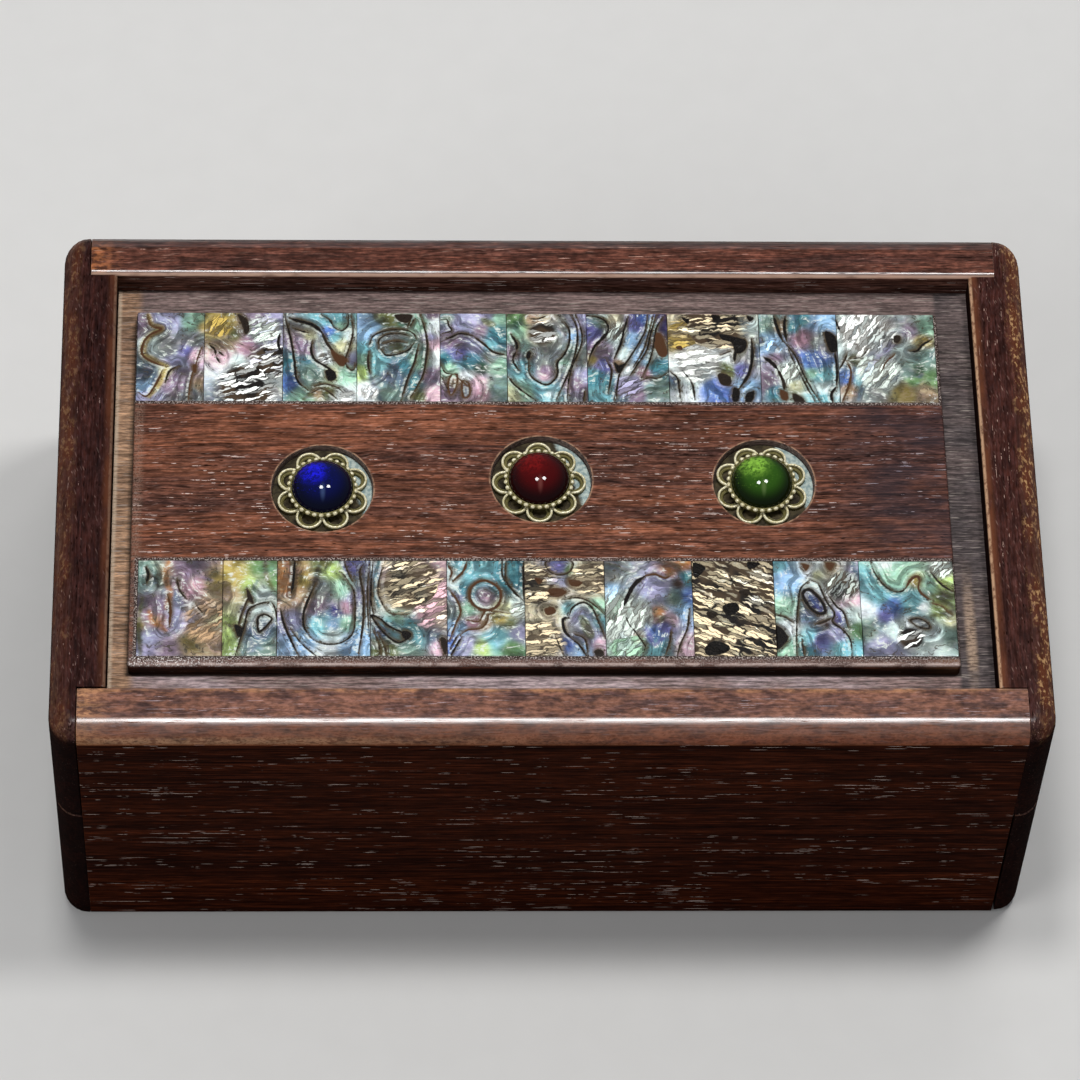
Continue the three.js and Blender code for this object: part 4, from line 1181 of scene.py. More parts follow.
# %% Back strip of shell
BACK_TILES = read_tiles("""
# grey and mint with a brown-edged bay
mauve 7 82 10, grey 42 70 16, lilac 50 88 14, mint 80 90 12, pale 25 68 10, violet 74 56 7, pink 86 52 7,
lilac 60 44 9, slate 16 30 10, pale_blue 10 16 7, mauve 62 22 11, lilac 16 4 8, tan 94 18 6, pale_gold 44 34 6,
grey 86 70 10, grey 80 8 8, gold 98 84 7, line gold 90 16 97 22 86 36 82 20 74 11 64 11 52 30 44 45 39,
line brown 50 14 97 20 85 35 81 18 74 9 64 9 51 29 42 44 38, line gold 70 43 34 34 19 20 5,
line brown 40 39 35 29 18 16 5 3 10, line dark 40 61 39 49 33 43 20, line brown 20 84 33 80 18 78 0,
line brown 20 96 60 90 46 86 34, blot brown 84 40 89 39 88 32 85 33
# gold and lilac above, black and white ribs below
gold 20 86 15, olive 34 74 10, lilac 76 80 16, mauve 64 92 9, tan 26 63 10, pink 24 50 9, pale 42 45 9,
rose 56 60 12, white 50 20 20, lilac 80 54 12, grey 90 16 15, slate 30 10 14, ribs white 54 16 27 18 100,
ribs white 86 44 20 22 100, ribs pale 76 80 15 30 60, ribs gold 18 84 12 60 60,
blot dark 42 98 54 92 57 80 52 76 48 86, line black 35 6 63 13 58 14 52, line black 30 15 50 20 43,
line black 30 18 56 24 51, line black 60 97 78 94 66 98 54
# a teal band, a pale flower and a dark wedge
teal 9 44 9, blue 8 20 8, mauve 25 62 9, pale_gold 36 74 5, sage 40 34 12, teal 33 46 6, white 54 50 7,
grey 50 62 8, blue 63 78 6, aqua 70 72 6, aqua 72 94 8, mint 77 86 5, pale_gold 80 62 8, pale 93 74 6,
lilac 95 48 6, mint 84 28 10, pale_gold 68 30 7, white 86 7 9, mint 24 7 8, olive 62 12 7, tan 46 10 5,
aqua 56 94 6, mauve 36 56 5, line black 90 8 94 20 91 34 88 46 83 54 76, line dark 60 53 77 59 66 70 54,
line black 50 1 98 9 74 15 47 19 24 34 12, line black 30 12 83 22 80 34 77,
line black 55 39 68 38 57 43 47 58 39 69 31 62 24, blot brown 64 60 74 53 87 48 82 40 72 44,
blot black 58 34 69 34 72 26 62 23, line black 30 53 97 63 92 70 83 80 80 88 86 89 98,
line dark 30 92 98 95 78 90 61 85 48 87 39 95 35 100 42, line dark 28 39 9 52 14 64 9 74 2,
line dark 25 43 17 58 19 74 15 84 8, line olive 40 28 2 40 9, ribs white 88 6 8 10 40, ribs white 56 49 6 20 80
# an eye above a large grey drop
pale_blue 6 78 9, aqua 8 60 7, lime 5 32 8, mint 8 48 6, white 14 12 9, white 10 2 8, aqua 26 40 10,
slate 42 30 14, sage 36 10 11, teal 56 38 8, grey 40 68 9, sage 64 66 7, olive 39 92 9, dark_green 54 93 7,
pale_blue 20 88 6, mint 76 88 7, sage 79 60 6, mint 74 44 7, teal 68 22 8, pink 93 64 7, white 95 84 7,
white 96 52 6, lilac 88 72 5, mauve 88 28 8, mauve 90 98 5, pink 92 7 7, olive 74 6 7,
line dark 45 14 56 13 44 15 32, line slate 30 15 32 20 16 29 0, line dark 40 74 64 69 44 62 28 52 0,
line dark 40 76 98 82 82 85 64 83 47 79 29 64 4, line black 28 15 64 20 74 36 80 56 81 68 77 72 70,
line black 28 27 60 27 70 39 76 56 76 65 73, line black 35 28 59 35 52 49 53 62 58 69 66,
line dark 25 32 65 45 68 61 66, blot olive 41 63 49 65 54 60 48 56 42 58, blot olive 22 99 24 91 34 89 40 98,
blot dark 46 98 52 91 62 90 66 98, line black 20 65 94 61 84, line black 20 69 93 64 85,
ribs white 14 10 8 70 40
# a long hill line over teal and pink
lilac 36 90 14, sage 14 94 7, teal 86 76 12, mint 94 94 8, mauve 62 80 8, lilac 69 97 6, aqua 76 64 7,
mauve 22 68 9, violet 28 55 8, teal 46 46 10, dark_green 59 39 8, lilac 54 62 8, grey 76 50 8, mint 90 40 9,
sage 88 16 12, pink 54 20 9, rose 62 10 7, white 42 28 6, mint 12 36 7, mauve 8 12 8, teal 7 48 6, tan 20 20 5,
slate 38 12 5, line black 32 0 67 17 73 31 77 50 74, line dark 50 49 74 64 66 80 56 100 52,
line black 28 2 92 10 93 13 86 17 80 2 77, blot olive 64 93 74 92 82 87 72 87,
line black 16 -2 44 6 33 16 31 26 31, line black 16 0 28 10 18, line black 16 4 22 12 12,
ring brown 25 17 30 25 29 23 16 15 7 11 20, ring brown 25 33 23 42 20 43 8 35 4 32 12,
line brown 20 20 30 30 24 42 16
# a grey tongue in a U, with parallel lines on its right
green 12 92 9, mint 10 80 7, mauve 8 56 6, aqua 21 37 7, sage 18 62 7, grey 50 50 11, grey 65 78 9,
mauve 48 34 7, pink 46 28 5, tan 32 94 7, cream 44 78 9, mint 70 42 5, pale_blue 83 74 5, sage 80 60 5,
aqua 44 12 11, white 50 9 5, pale_gold 6 5 7, mint 24 10 7, mauve 84 20 8, lilac 98 88 7, grey 92 46 7,
white 69 40 4, lilac 98 30 7, line black 60 5 76 12 66 12 57, line black 40 12 58 7 47 14 35,
line black 100 28 57 26 48,
line black 35 27 50 27 33 35 24 49 19 60 26 63 35 63 44 72 54 78 66 79 80 73 91 63 99,
ribs white 45 78 13 15 100, line black 30 30 94 40 94 49 97,
line black 30 80 99 87 88 89 74 86 57 79 38 71 22 60 2, line black 28 87 99 93 84 94 66 82 41 76 22 74 2,
line black 35 0 28 12 16 35 1, blot dark_green 10 90 14 89 13 84, line dark 30 96 12 94 0
# diagonal growth lines, violet and teal
sage 16 90 7, violet 7 80 8, olive 20 88 5, mauve 16 58 8, gold 6 48 4, violet 20 42 6, teal 10 26 8,
aqua 14 10 7, cream 36 92 6, pale 37 76 7, slate 30 80 5, pale 44 54 5, violet 60 88 7, pale_blue 56 72 6,
blue 69 94 5, pale_blue 66 52 5, sage 80 86 5, purple 99 90 6, brown 90 66 5, teal 87 39 8, pale 80 52 4,
rose 70 32 5, lilac 56 22 6, sage 84 12 9, mauve 60 8 7, slate 44 8 6, tan 38 43 4, white 50 34 4,
line black 50 0 98 14 96 23 92 27 84 23 74 12 66 5 55 0 42, line black 50 26 80 17 70 9 62,
line dark 40 23 47 29 37 28 25 24 10, line black 50 52 97 46 80 42 66 33 49,
line black 30 76 99 73 82 64 66 50 47 40 33 31 2, line black 35 87 99 79 76 74 59 63 44 49 26,
line dark 22 83 98 76 75 68 56 56 39, line black 35 96 97 87 84 83 66 77 47 66 27,
blot brown 86 78 94 74 99 54 90 52 84 64, blot black 33 44 39 41 46 43 42 35 37 33,
line dark 28 64 23 75 27 87 27 100 34, line dark 40 39 34 36 18 34 4, ribs pale 36 80 10 60 80,
ribs lilac 50 16 12 30 70, line purple 50 98 96 94 84 92 74
# cream ribs above, white and blue below
cream 46 86 22, gold 12 66 11, cream 20 84 14, white 48 56 13, white 14 44 11, pale 28 28 12, olive 60 36 6,
lime 65 34 4, blue 45 16 10, blue 56 6 7, white 16 8 8, violet 78 36 5, pale_blue 84 16 6, slate 97 56 6,
pale 90 86 8, slate 3 24 6, tan 50 74 7, ribs cream 50 87 28 4 100, ribs gold 16 76 16 8 70,
ribs white 30 46 20 8 35, blot black 57 77 74 74 86 69 83 58 74 56 70 67 60 71, line black 70 76 64 73 54 72 46,
line black 70 92 72 92 52 87 32 75 14, blot dark 54 32 66 29 66 19 56 21, blot olive 49 40 59 44 69 34 63 29,
line black 35 1 34 9 26 11 4, line black 35 12 39 24 22 27 3, line dark 18 47 49 69 58,
line dark 18 4 49 30 48 50 43, blot black 70 16 76 12 74 1 68 2, blot black 84 10 92 12 89 1 82 1,
blot brown 8 62 14 64 15 59, blot black 16 96 24 94 22 89, blot black 49 99 59 97 52 92,
blot black 88 98 95 96 91 92
# black bars and a blue pool
sage 7 92 9, tan 28 86 5, pale_blue 16 66 8, white 22 60 4, teal 44 84 5, teal 58 94 7, pale_blue 79 90 9,
rose 57 72 8, grey 76 68 10, blue 68 48 10, aqua 78 30 8, mint 66 32 6, pale 80 16 8, aqua 76 6 7, mauve 7 26 8,
teal 17 12 5, pale 39 32 8, pale_gold 44 20 5, slate 4 68 5, mauve 20 52 5, line black 70 20 98 24 84 30 69,
line black 70 35 98 33 84 35 69, line black 30 31 69 45 53 52 37 62 18 74 0,
line black 25 36 61 44 44 54 25 67 1, line black 90 4 51 14 45 22 37, line dark 80 21 38 28 24 29 14,
blot black 85 80 96 77 100 68 99 58 90 59, line black 55 96 60 98 38 96 18, line black 60 96 18 89 9 90 0,
ribs pale 36 34 12 60 60, ribs pale_blue 18 64 8 60 50, blot dark 40 9 50 6 54 0 42 0,
blot brown 24 14 32 10 32 3 25 4
# pale slanting streaks fading into olive
pale 34 84 20, white 22 72 8, blue 7 28 4, tan 10 14 4, olive 18 48 5, pale_blue 28 38 7, aqua 25 26 5,
lilac 42 48 9, grey 40 16 9, sage 72 36 9, green 76 24 6, dark_green 82 36 4, gold 66 10 9, tan 86 12 9,
mint 92 86 7, gold 88 70 6, pale 64 56 7, mauve 76 82 7, purple 56 66 4, sage 92 50 8, slate 54 30 7,
grey 54 88 10, green 94 26 7, ribs white 30 80 24 58 60, ribs pale 40 34 18 52 50,
line black 45 -2 98 1 88 3 82, line brown 40 8 47 12 35 9 19 1 0, line dark 28 0 37 6 47 10 56,
line dark 30 12 49 24 52 32 62, line slate 25 36 53 29 33 18 3, blot olive 14 52 24 53 23 43 17 42,
blot dark 59 76 65 75 63 68 58 69, blot purple 47 66 55 67 52 59 48 59, line black 50 74 58 82 59 88 66 98 72,
blot dark_green 79 42 86 38 84 30 79 32, line brown 35 42 32 49 46 58 54
""")
print("back strip", sum(len(tile) for tile in BACK_TILES), "marks")

# %% [markdown]
# ## From marks to a surface
#
# Each tile is a fine grid. For every point numpy finds the distance to the nearest line, a blend of the
# nearest coloured spots, and how deep the point lies in a ribbed area. These go into the mesh as
# attributes, so the nodes can turn a distance into a crisp line with a brown halo at any zoom.

# %% Tile surfaces
CELL = 0.16 * MM
FAR = 3.0
THIN = 0.62


def smooth_path(points, closed):
    """A Catmull-Rom curve: between two points it is a cubic whose slopes are half the step across each."""
    if closed:
        around = np.concatenate([points[-1:], points, points[:2]])
    else:
        around = np.concatenate([2 * points[:1] - points[1:2], points, 2 * points[-1:] - points[-2:-1]])
    p0, p1, p2, p3 = around[:-3, None], around[1:-2, None], around[2:-1, None], around[3:, None]
    t = (np.arange(8) / 8)[None, :, None]
    curve = 0.5 * (2 * p1 + (p2 - p0) * t + (2 * p0 - 5 * p1 + 4 * p2 - p3) * t ** 2
                   + (3 * p1 - p0 - 3 * p2 + p3) * t ** 3).reshape(-1, 2)
    return np.concatenate([curve, curve[:1] if closed else points[-1:]])


def nearest_on_path(place, path):
    """The shortest distance from each point to a path, the side of it that the point is on (the sine of the
    angle between the path's direction and the way to the point, 1 on its left and -1 on its right), and how far
    along the path the nearest place is, from 0 to 1."""
    start, step = path[:-1], np.diff(path, axis=0)
    apart = place[:, None] - start[None]
    along = (apart * step).sum(-1) / np.maximum((step ** 2).sum(-1), 1e-12)
    along = np.clip(along, 0, 1)
    apart -= along[..., None] * step
    far = np.sqrt((apart ** 2).sum(-1))
    pick = far.argmin(1)
    rows = np.arange(len(place))
    share = (pick + along[rows, pick]) / len(step)
    way, gap, far = step[pick], apart[rows, pick], far[rows, pick]
    cross = way[:, 0] * gap[:, 1] - way[:, 1] * gap[:, 0]
    return far, cross / np.maximum(np.linalg.norm(way, axis=1) * far, 1e-9), share


def inside_path(place, path):
    """True where a point lies inside a closed path: a ray to its right crosses it an odd number of times."""
    start, end = path[:-1][None], path[1:][None]
    x, y = place[:, 0:1], place[:, 1:2]
    crosses = (start[..., 1] > y) != (end[..., 1] > y)
    with np.errstate(divide="ignore", invalid="ignore"):
        slope = (end[..., 0] - start[..., 0]) / (end[..., 1] - start[..., 1])
        where = start[..., 0] + (y - start[..., 1]) * slope
    return (crosses & (x < where)).sum(1) % 2 == 1


INKS = ("black", "dark", "brown")


def read_marks(place, size, marks):
    """The shell's attributes at each place (millimetres from the tile's corner), for a tile of a given size.
    The spots blend by about the inverse fifth power of their distance. Coloured lines and patches are laid over
    them with soft edges, and only the black, dark and brown ones count as ink."""
    hundredth = np.array(size) / 100
    unit = hundredth.mean()
    count = len(place)
    total, tint = np.full(count, 1e-9), np.zeros((count, 3))
    ink, ink_tone, side = np.full(count, FAR), np.zeros((count, 3)), np.zeros(count)
    rib, rib_tone, gaps = np.zeros(count), np.tile(SHELL["pale"], (count, 1)), np.zeros(count)
    rib_place = place.copy()
    spots = [mark for mark in marks if mark[0] == "spot"]
    for _, name, numbers in spots:
        x, y, reach = (*numbers, 20)[:3]
        apart = np.linalg.norm(place - (x, y) * hundredth, axis=1) / (reach * unit)
        weight = 1 / (0.3 + apart ** 2) ** 2.3
        total += weight
        tint += weight[:, None] * SHELL[name]
    tint /= total[:, None]
    for kind, name, numbers in marks[len(spots):]:
        tone = SHELL[name]
        if kind == "ribs":
            x, y, reach, turn, dark = numbers
            apart = np.linalg.norm(place - (x, y) * hundredth, axis=1) / (reach * unit)
            strength = np.clip((1.4 - apart) / 0.45, 0, 1)
            c, s = math.cos(math.radians(turn)), math.sin(math.radians(turn))
            turned = place @ np.array([(c, -s), (s, c)])
            wins = strength > rib
            rib[wins], rib_tone[wins], gaps[wins] = strength[wins], tone, dark / 100
            rib_place[wins] = turned[wins]
            continue
        width, points = (0, numbers) if kind == "blot" else (numbers[0], numbers[1:])
        path = smooth_path(points.reshape(-1, 2) * hundredth, kind != "line")
        apart, way, share = nearest_on_path(place, path)
        full = np.clip(5 * np.minimum(share, 1 - share), 0.2, 1) if kind == "line" else 1
        apart -= width / 200 * THIN * full
        if kind == "blot":
            apart = np.where(inside_path(place, path), -apart, apart)
        if name in INKS:
            wins = apart < ink
            ink[wins], ink_tone[wins], side[wins] = apart[wins], tone, way[wins]
        else:
            cover = 0.85 * np.exp(-(np.maximum(apart, 0) / 0.4) ** 2)[:, None]
            tint = tint * (1 - cover) + tone * cover
    return {"tint": tint, "ink": ink, "ink_tone": ink_tone, "ink_side": side, "rib": rib, "rib_tone": rib_tone,
            "rib_gaps": gaps, "rib_place": np.column_stack([rib_place, np.zeros(count)])}


def store(mesh, name, values):
    """Puts an array into a point attribute: numbers, directions, or colours with an alpha of 1."""
    if values.ndim == 1:
        mesh.attributes.new(name, "FLOAT", "POINT").data.foreach_set("value", values.astype(np.float32))
    elif name.endswith("place"):
        flat = values.astype(np.float32).ravel()
        mesh.attributes.new(name, "FLOAT_VECTOR", "POINT").data.foreach_set("vector", flat)
    else:
        full = np.column_stack([values, np.ones(len(values))]).astype(np.float32)
        mesh.attributes.new(name, "FLOAT_COLOR", "POINT").data.foreach_set("color", full.ravel())


def shell_tile(node, marks):
    """A grid over the tile whose outermost rows fold down over a small rounded edge to its flat underside."""
    low, high = (np.array(corner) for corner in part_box(node))
    size = high - low
    across, along = (max(int(side / CELL), 8) for side in size[:2])
    edge_in = np.array([0.0, 0.0, 0.03, 0.12]) * MM
    edge_down = np.array([size[2], 0.12 * MM, 0.03 * MM, 0.0])

    def rows(length, count):
        inner = np.linspace(edge_in[-1], length - edge_in[-1], count)
        return np.concatenate([edge_in[:-1], inner, length - edge_in[-2::-1]])

    def drops(count):
        return np.concatenate([edge_down[:-1], np.zeros(count), edge_down[-2::-1]])

    x, y = rows(size[0], across), rows(size[1], along)
    drop = np.maximum(drops(along)[:, None], drops(across)[None])
    grid = np.broadcast_arrays(x, y[:, None], size[2] - drop)
    points = np.stack(grid, -1).reshape(-1, 3)
    index = np.arange(drop.size).reshape(drop.shape)
    quads = np.stack([index[:-1, :-1], index[:-1, 1:], index[1:, 1:], index[1:, :-1]], -1).reshape(-1, 4)
    border = np.concatenate([index[0, :-1], index[:-1, -1], index[-1, :0:-1], index[:0:-1, 0]])
    mesh = bpy.data.meshes.new(node + "_shell")
    mesh.from_pydata((points + low).tolist(), [], quads.tolist() + [border[::-1].tolist()])
    for name, values in read_marks(points[:, :2] / MM, size[:2] / MM, marks).items():
        store(mesh, name, values)
    mesh.shade_smooth()
    mesh.set_sharp_from_angle(angle=math.radians(60))
    piece = bpy.data.objects.new(node + "_shell", mesh)
    bpy.context.scene.collection.objects.link(piece)
    return piece


# %% [markdown]
# ## Nacre
#
# Nacre is pale calcium in very thin layers, so its colours change with the layers' slope rather than with
# a dye. Real thin-film colour would shift with the light; here the listed tints carry it, and the nodes
# add silky streaks along the growth lines, painted light and shade in soft folds with thin painted highlight
# streaks, a brown painted shade on one side of each dark line and a broken painted highlight on the other,
# and the gloss of a lacquer.

# %% Shell finish
# What the tiles' attributes hold, and the kind of socket that each one feeds
CARRIED = {"tint": "Color", "ink": "Float", "ink_tone": "Color", "ink_side": "Float", "rib": "Float",
           "rib_tone": "Color", "rib_gaps": "Float", "rib_place": "Vector"}


def shell_group():
    tree, given, put = new_group(
        "nacre",
        [("place", "Vector"), *CARRIED.items()],
        [("Color", "Color"), ("Roughness", "Float"), ("Coat", "Float"), ("Height", "Float")])
    place, ink, side = given["place"], given["ink"], given["ink_side"]
    cloud = noise(place, 0.22, 2, 0.5, 0.4)
    folds = noise(stretch(place, (1, 1, 9)), 0.26, 3, 0.45, 0.7)
    silk = noise(place, (0.7, 1.5, 1.0), 3, 0.5, 0.8)
    grain = noise(place, 6.0, 3, 0.6)
    wobble = times(minus(noise(place, 1.5, 4, 0.6), 0.5), 0.36)
    reach = plus(ink, wobble)

    # Hues that drift over a few millimetres, painted light and shade that lie in soft folds, and thin painted
    # highlight streaks
    phase = plus(times(reach, 0.3), times(cloud, 3.0))
    across, along, _ = split(place)
    layer = plus(times(reach, 0.95), times(cloud, 1.8))
    layers = point_of(layer, times(across, 0.17), times(along, 0.17))
    flow = noise(layers, 1, 3, 0.55)
    hues = add_node(tree, "ValToRGB", {0: sums("FRACT", phase)})
    shades = [(0.0, (0.16, 0.24, 0.22)), (0.16, (0.34, 0.50, 0.36)), (0.3, (0.58, 0.56, 0.36)),
              (0.44, (0.56, 0.40, 0.44)), (0.58, (0.34, 0.26, 0.42)), (0.72, (0.16, 0.22, 0.40)),
              (0.86, (0.16, 0.36, 0.40)), (1.0, (0.16, 0.24, 0.22))]
    hues.color_ramp.elements.remove(hues.color_ramp.elements[1])
    hues.color_ramp.elements[0].color = (*shades[0][1], 1)
    for stop, shade in shades[1:]:
        hues.color_ramp.elements.new(stop).color = (*shade, 1)
    tint = blend(ramp(silk, 0.38, 0.62, 0.02, 0.2), given["tint"], hues.outputs["Color"])
    light = times(ramp(folds, 0.36, 0.62, 0.62, 1.35), ramp(silk, 0.3, 0.7, 0.82, 1.16),
                  ramp(flow, 0.36, 0.62, 0.44, 1.34), ramp(grain, 0.3, 0.7, 0.94, 1.06))
    tint = blend(1.0, tint, grey(light), "MULTIPLY")
    tint = blend(1.0, tint, (0.88, 0.94, 0.99), "MULTIPLY")
    # Painted highlight: thin pale streaks along the folds
    highlight_streaks = times(near(flow, 0.57, 0.03), ramp(silk, 0.46, 0.58, 0.0, 0.75))
    tint = blend(highlight_streaks, tint, (0.86, 0.92, 0.84))
    growth = times(near(flow, 0.44, 0.018), ramp(silk, 0.44, 0.54, 0.0, 0.85))
    tint = blend(growth, tint, (0.05, 0.04, 0.025))

    specks = times(ramp(reach, 1.2, 0.2), ramp(noise(place, 1.9, 3, 0.6), 0.57, 0.63, 0, 0.9))
    tint = blend(specks, tint, (0.022, 0.016, 0.010))

    # Beside a dark line a brown painted shade lies on one side and a painted highlight on the other
    line_shade = times(ramp(side, -0.3, 0.5), ramp(reach, 0.0, 0.9, 0.8, 0), ramp(cloud, 0.36, 0.56, 0.45, 1.0))
    umber = blend(0.5, given["ink_tone"], (0.13, 0.085, 0.030))
    tint = blend(line_shade, tint, umber)
    lit = times(ramp(side, 0.3, -0.4), near(reach, 0.30, 0.30), ramp(silk, 0.42, 0.58, 0.0, 0.85),
                ramp(folds, 0.38, 0.56, 0.2, 1.0))
    tint = blend(lit, tint, blend(0.35, (0.88, 0.93, 0.84), given["tint"]))
    tint = blend(ramp(reach, 0.0, 0.17, 0.9, 0), tint, umber)

    # Ribs: long cells with dark joints, some of them black
    warp = noise(place, 0.9, output="Color")
    bent = vectors("SUBTRACT", warp, (0.5, 0.5, 0.5))
    bent = vectors("MULTIPLY_ADD", bent, (1.6, 1.2, 0.0), given["rib_place"])
    ribbed = stretch(bent, (0.3, 1.75, 1.0))
    crest = ramp(scattered(ribbed, "DISTANCE_TO_EDGE")["Distance"], 0.02, 0.13)
    red, green, blue = dice(scattered(ribbed)["Color"])
    blacked = times(ramp(red, 0.68, 0.74), given["rib_gaps"])
    crest = times(crest, minus(1.0, blacked))
    rib_tone = blend(ramp(green, 0.3, 0.9, 0, 0.7), given["rib_tone"], tint)
    shade = times(ramp(blue, 0.1, 0.9, 0.55, 1.9), ramp(grain, 0.3, 0.7, 0.8, 1.2))
    rib_tone = blend(1.0, rib_tone, grey(shade), "MULTIPLY")
    dark = blend(ramp(cloud, 0.42, 0.58), (0.008, 0.006, 0.005), (0.07, 0.045, 0.025))
    gap = times(minus(1.0, crest), ramp(given["rib_gaps"], 0, 1, 0.35, 1))
    rib_tone = blend(gap, rib_tone, dark)
    tint = blend(given["rib"], tint, rib_tone)

    inked = ramp(reach, -0.03, 0.06, 1, 0)
    ink_tone = blend(ramp(grain, 0.5, 0.75, 0, 0.3), given["ink_tone"], (0.09, 0.06, 0.03))
    relief = plus(times(flow, 0.35), times(grain, 0.06))
    relief = minus(relief, times(inked, 0.1))
    ribs_up = times(crest, given["rib"], 1.3)
    feed(put, {"Color": blend(inked, tint, ink_tone), "Roughness": ramp(grain, 0.3, 0.7, 0.25, 0.42),
               "Coat": ramp(reach, -0.1, 0.2, 0.0, 0.45), "Height": plus(relief, ribs_up)})
    return tree


def shell_material():
    material, tree, shader = new_material("abalone_shell")
    inputs = {name: attribute(tree, name, "Fac" if kind == "Float" else kind) for name,
              kind in CARRIED.items()}
    inputs["place"] = object_place(tree)
    shell = use_group(tree, shell_group(), inputs)
    feed(shader, {"Base Color": shell["Color"], "Roughness": shell["Roughness"], "Coat Weight": shell["Coat"],
                  "Specular IOR Level": 0.15, "Coat Roughness": 0.08})
    bump(shader, shell["Height"], 0.09 * MM, 0.8)
    return material


abalone = shell_material()
for strip, tiles in (("front", FRONT_TILES), ("back", BACK_TILES)):
    for number, marks in enumerate(tiles, 1):
        node = f"{strip}_tile_{number}"
        stands_for(shell_tile(node, marks), node, abalone)

# %% [markdown]
# ## Jewel settings
#
# Each jewel is stamped brass: a flower of eight wire petals round a small plate, a cup with a ring of
# beads, and a glass stone glued into the cup. A disc of pearl shell lies under it. A petal could be
# a bent wire, but stamped petals have a tall rolled rim and a low inner ridge with a hollow between them,
# so one profile is turned about each petal's centre and the eight rings are joined into one solid.

# %% Settings
PETALS = 8
PETAL_CIRCLE = 5.7 * MM
FLOWER_LOW = 58.4 * MM
# Both profiles are (radius, height) in millimetres
PETAL_PROFILE = [(2.25, 0.0), (2.25, 0.68), (2.23, 0.84), (2.16, 0.94), (2.07, 0.98), (1.96, 0.98),
                 (1.88, 0.93), (1.84, 0.80), (1.82, 0.60), (1.76, 0.42), (1.64, 0.34), (1.50, 0.36),
                 (1.42, 0.46), (1.34, 0.50), (1.27, 0.45), (1.22, 0.34), (1.22, 0.0)]
CUP_PROFILE = [(5.22, 0.0), (5.56, 0.0), (5.56, 0.6), (5.40, 0.86), (5.26, 0.94), (5.18, 0.94), (5.18, 0.6)]


def welded(piece):
    """Joins points that lie in the same place, and turns all faces outwards."""
    mesh = bmesh.new()
    mesh.from_mesh(piece.data)
    bmesh.ops.remove_doubles(mesh, verts=mesh.verts, dist=1e-7)
    bmesh.ops.recalc_face_normals(mesh, faces=mesh.faces)
    mesh.to_mesh(piece.data)
    mesh.free()
    return piece


def ring_lathe(name, centre, profile, steps):
    """A closed profile that never touches its axis, turned about it: the last ring joins the first."""
    points = [(radius * MM, height * MM) for radius, height in (*profile, profile[0])]
    return welded(lathe(name, centre, points, steps, caps=False))


def flower_setting(name, x, y, turn):
    petals = []
    for k in range(PETALS):
        a = turn + k * 2 * math.pi / PETALS
        centre = (x + PETAL_CIRCLE * math.cos(a), y + PETAL_CIRCLE * math.sin(a), FLOWER_LOW)
        petals.append(ring_lathe(name if k == 0 else "petal", centre, PETAL_PROFILE, 48))
    plate = lathe("plate", (x, y, FLOWER_LOW), [(5.0 * MM, 0), (5.0 * MM, 0.6 * MM), (4.85 * MM, 0.75 * MM)])
    return combined(petals[0], petals[1:] + [plate], "UNION")


BEADS = 30
BEAD_CIRCLE = 5.6
BEZEL_LOW = 59.4 * MM


def bead_swell(turn):
    """How full the bead ring is at an angle: a half circle inside each bead, 0 between two beads."""
    inside = (turn * BEADS / (2 * math.pi)) % 1 * 2 - 1
    return np.sqrt(np.clip(1 - (inside / 0.72) ** 2, 0, 1))


def bead_bezel(name, x, y, turn):
    """A ring whose tube swells thirty times, joined to the wall of the cup. Where a bead stands proud the
    attribute edge is 1, so that the finish can rub it bright."""
    steps, around = BEADS * 16, 12
    a = np.arange(steps) * 2 * math.pi / steps
    tube = np.maximum(0.13, 0.35 * bead_swell(a)) * MM
    b = np.arange(around) * 2 * math.pi / around
    radius = BEAD_CIRCLE * MM + tube[:, None] * np.cos(b)
    height = BEZEL_LOW + 0.80 * MM + tube[:, None] * np.sin(b)
    rings = np.stack([x + radius * np.cos(a + turn)[:, None], y + radius * np.sin(a + turn)[:, None],
                      height], -1)
    rings = np.concatenate([rings, rings[:1]])
    beads = welded(surface(name, rings, caps=False))
    wall = ring_lathe("cup", (x, y, BEZEL_LOW), CUP_PROFILE, 96)
    joined = combined(beads, [wall], "UNION")
    points = np.empty(len(joined.data.vertices) * 3)
    joined.data.vertices.foreach_get("co", points)
    points = points.reshape(-1, 3) - (x, y, BEZEL_LOW)
    out = np.hypot(points[:, 0], points[:, 1]) / MM
    proud = bead_swell(np.arctan2(points[:, 1], points[:, 0]) - turn)
    proud *= np.clip((out - 5.32) / 0.1, 0, 1) * np.clip((points[:, 2] / MM - 0.65) / 0.15, 0, 1)
    joined.data.attributes["edge"].data.foreach_set("value", proud.astype(np.float32))
    return joined


def cabochon(name, x, y):
    """A low dome: radius R cos(a), height H sin(a) above a short upright edge."""
    low, high = 59.4 * MM, 63.2 * MM
    radius, edge = 5.16 * MM, 0.55 * MM
    a = np.linspace(0, math.pi / 2, 26)[:-1]
    profile = [(radius - 0.1 * MM, 0), (radius, 0.1 * MM)]
    profile += [(radius * math.cos(t) ** 1.04, edge + (high - low - edge) * math.sin(t)) for t in a]
    return lathe(name, (x, y, low), profile + [(0.02 * MM, high - low)], 72)


# %% [markdown]
# ## Brass, pearl, glass and steel
#
# The brass was darkened and then rubbed bright on what stands up, so its patina follows height and
# hollows. Each stone looks darker at its rim and lights up on the far side from the lamp, because glass
# gathers light there. Real refraction would need the pearl and brass below it in view, and the stones are
# backed with foil, so a coated colour that changes over the dome is closer to what the eye sees: the
# gathered light, glints of sparkle in it and a pale reflection below the middle are painted into that colour.

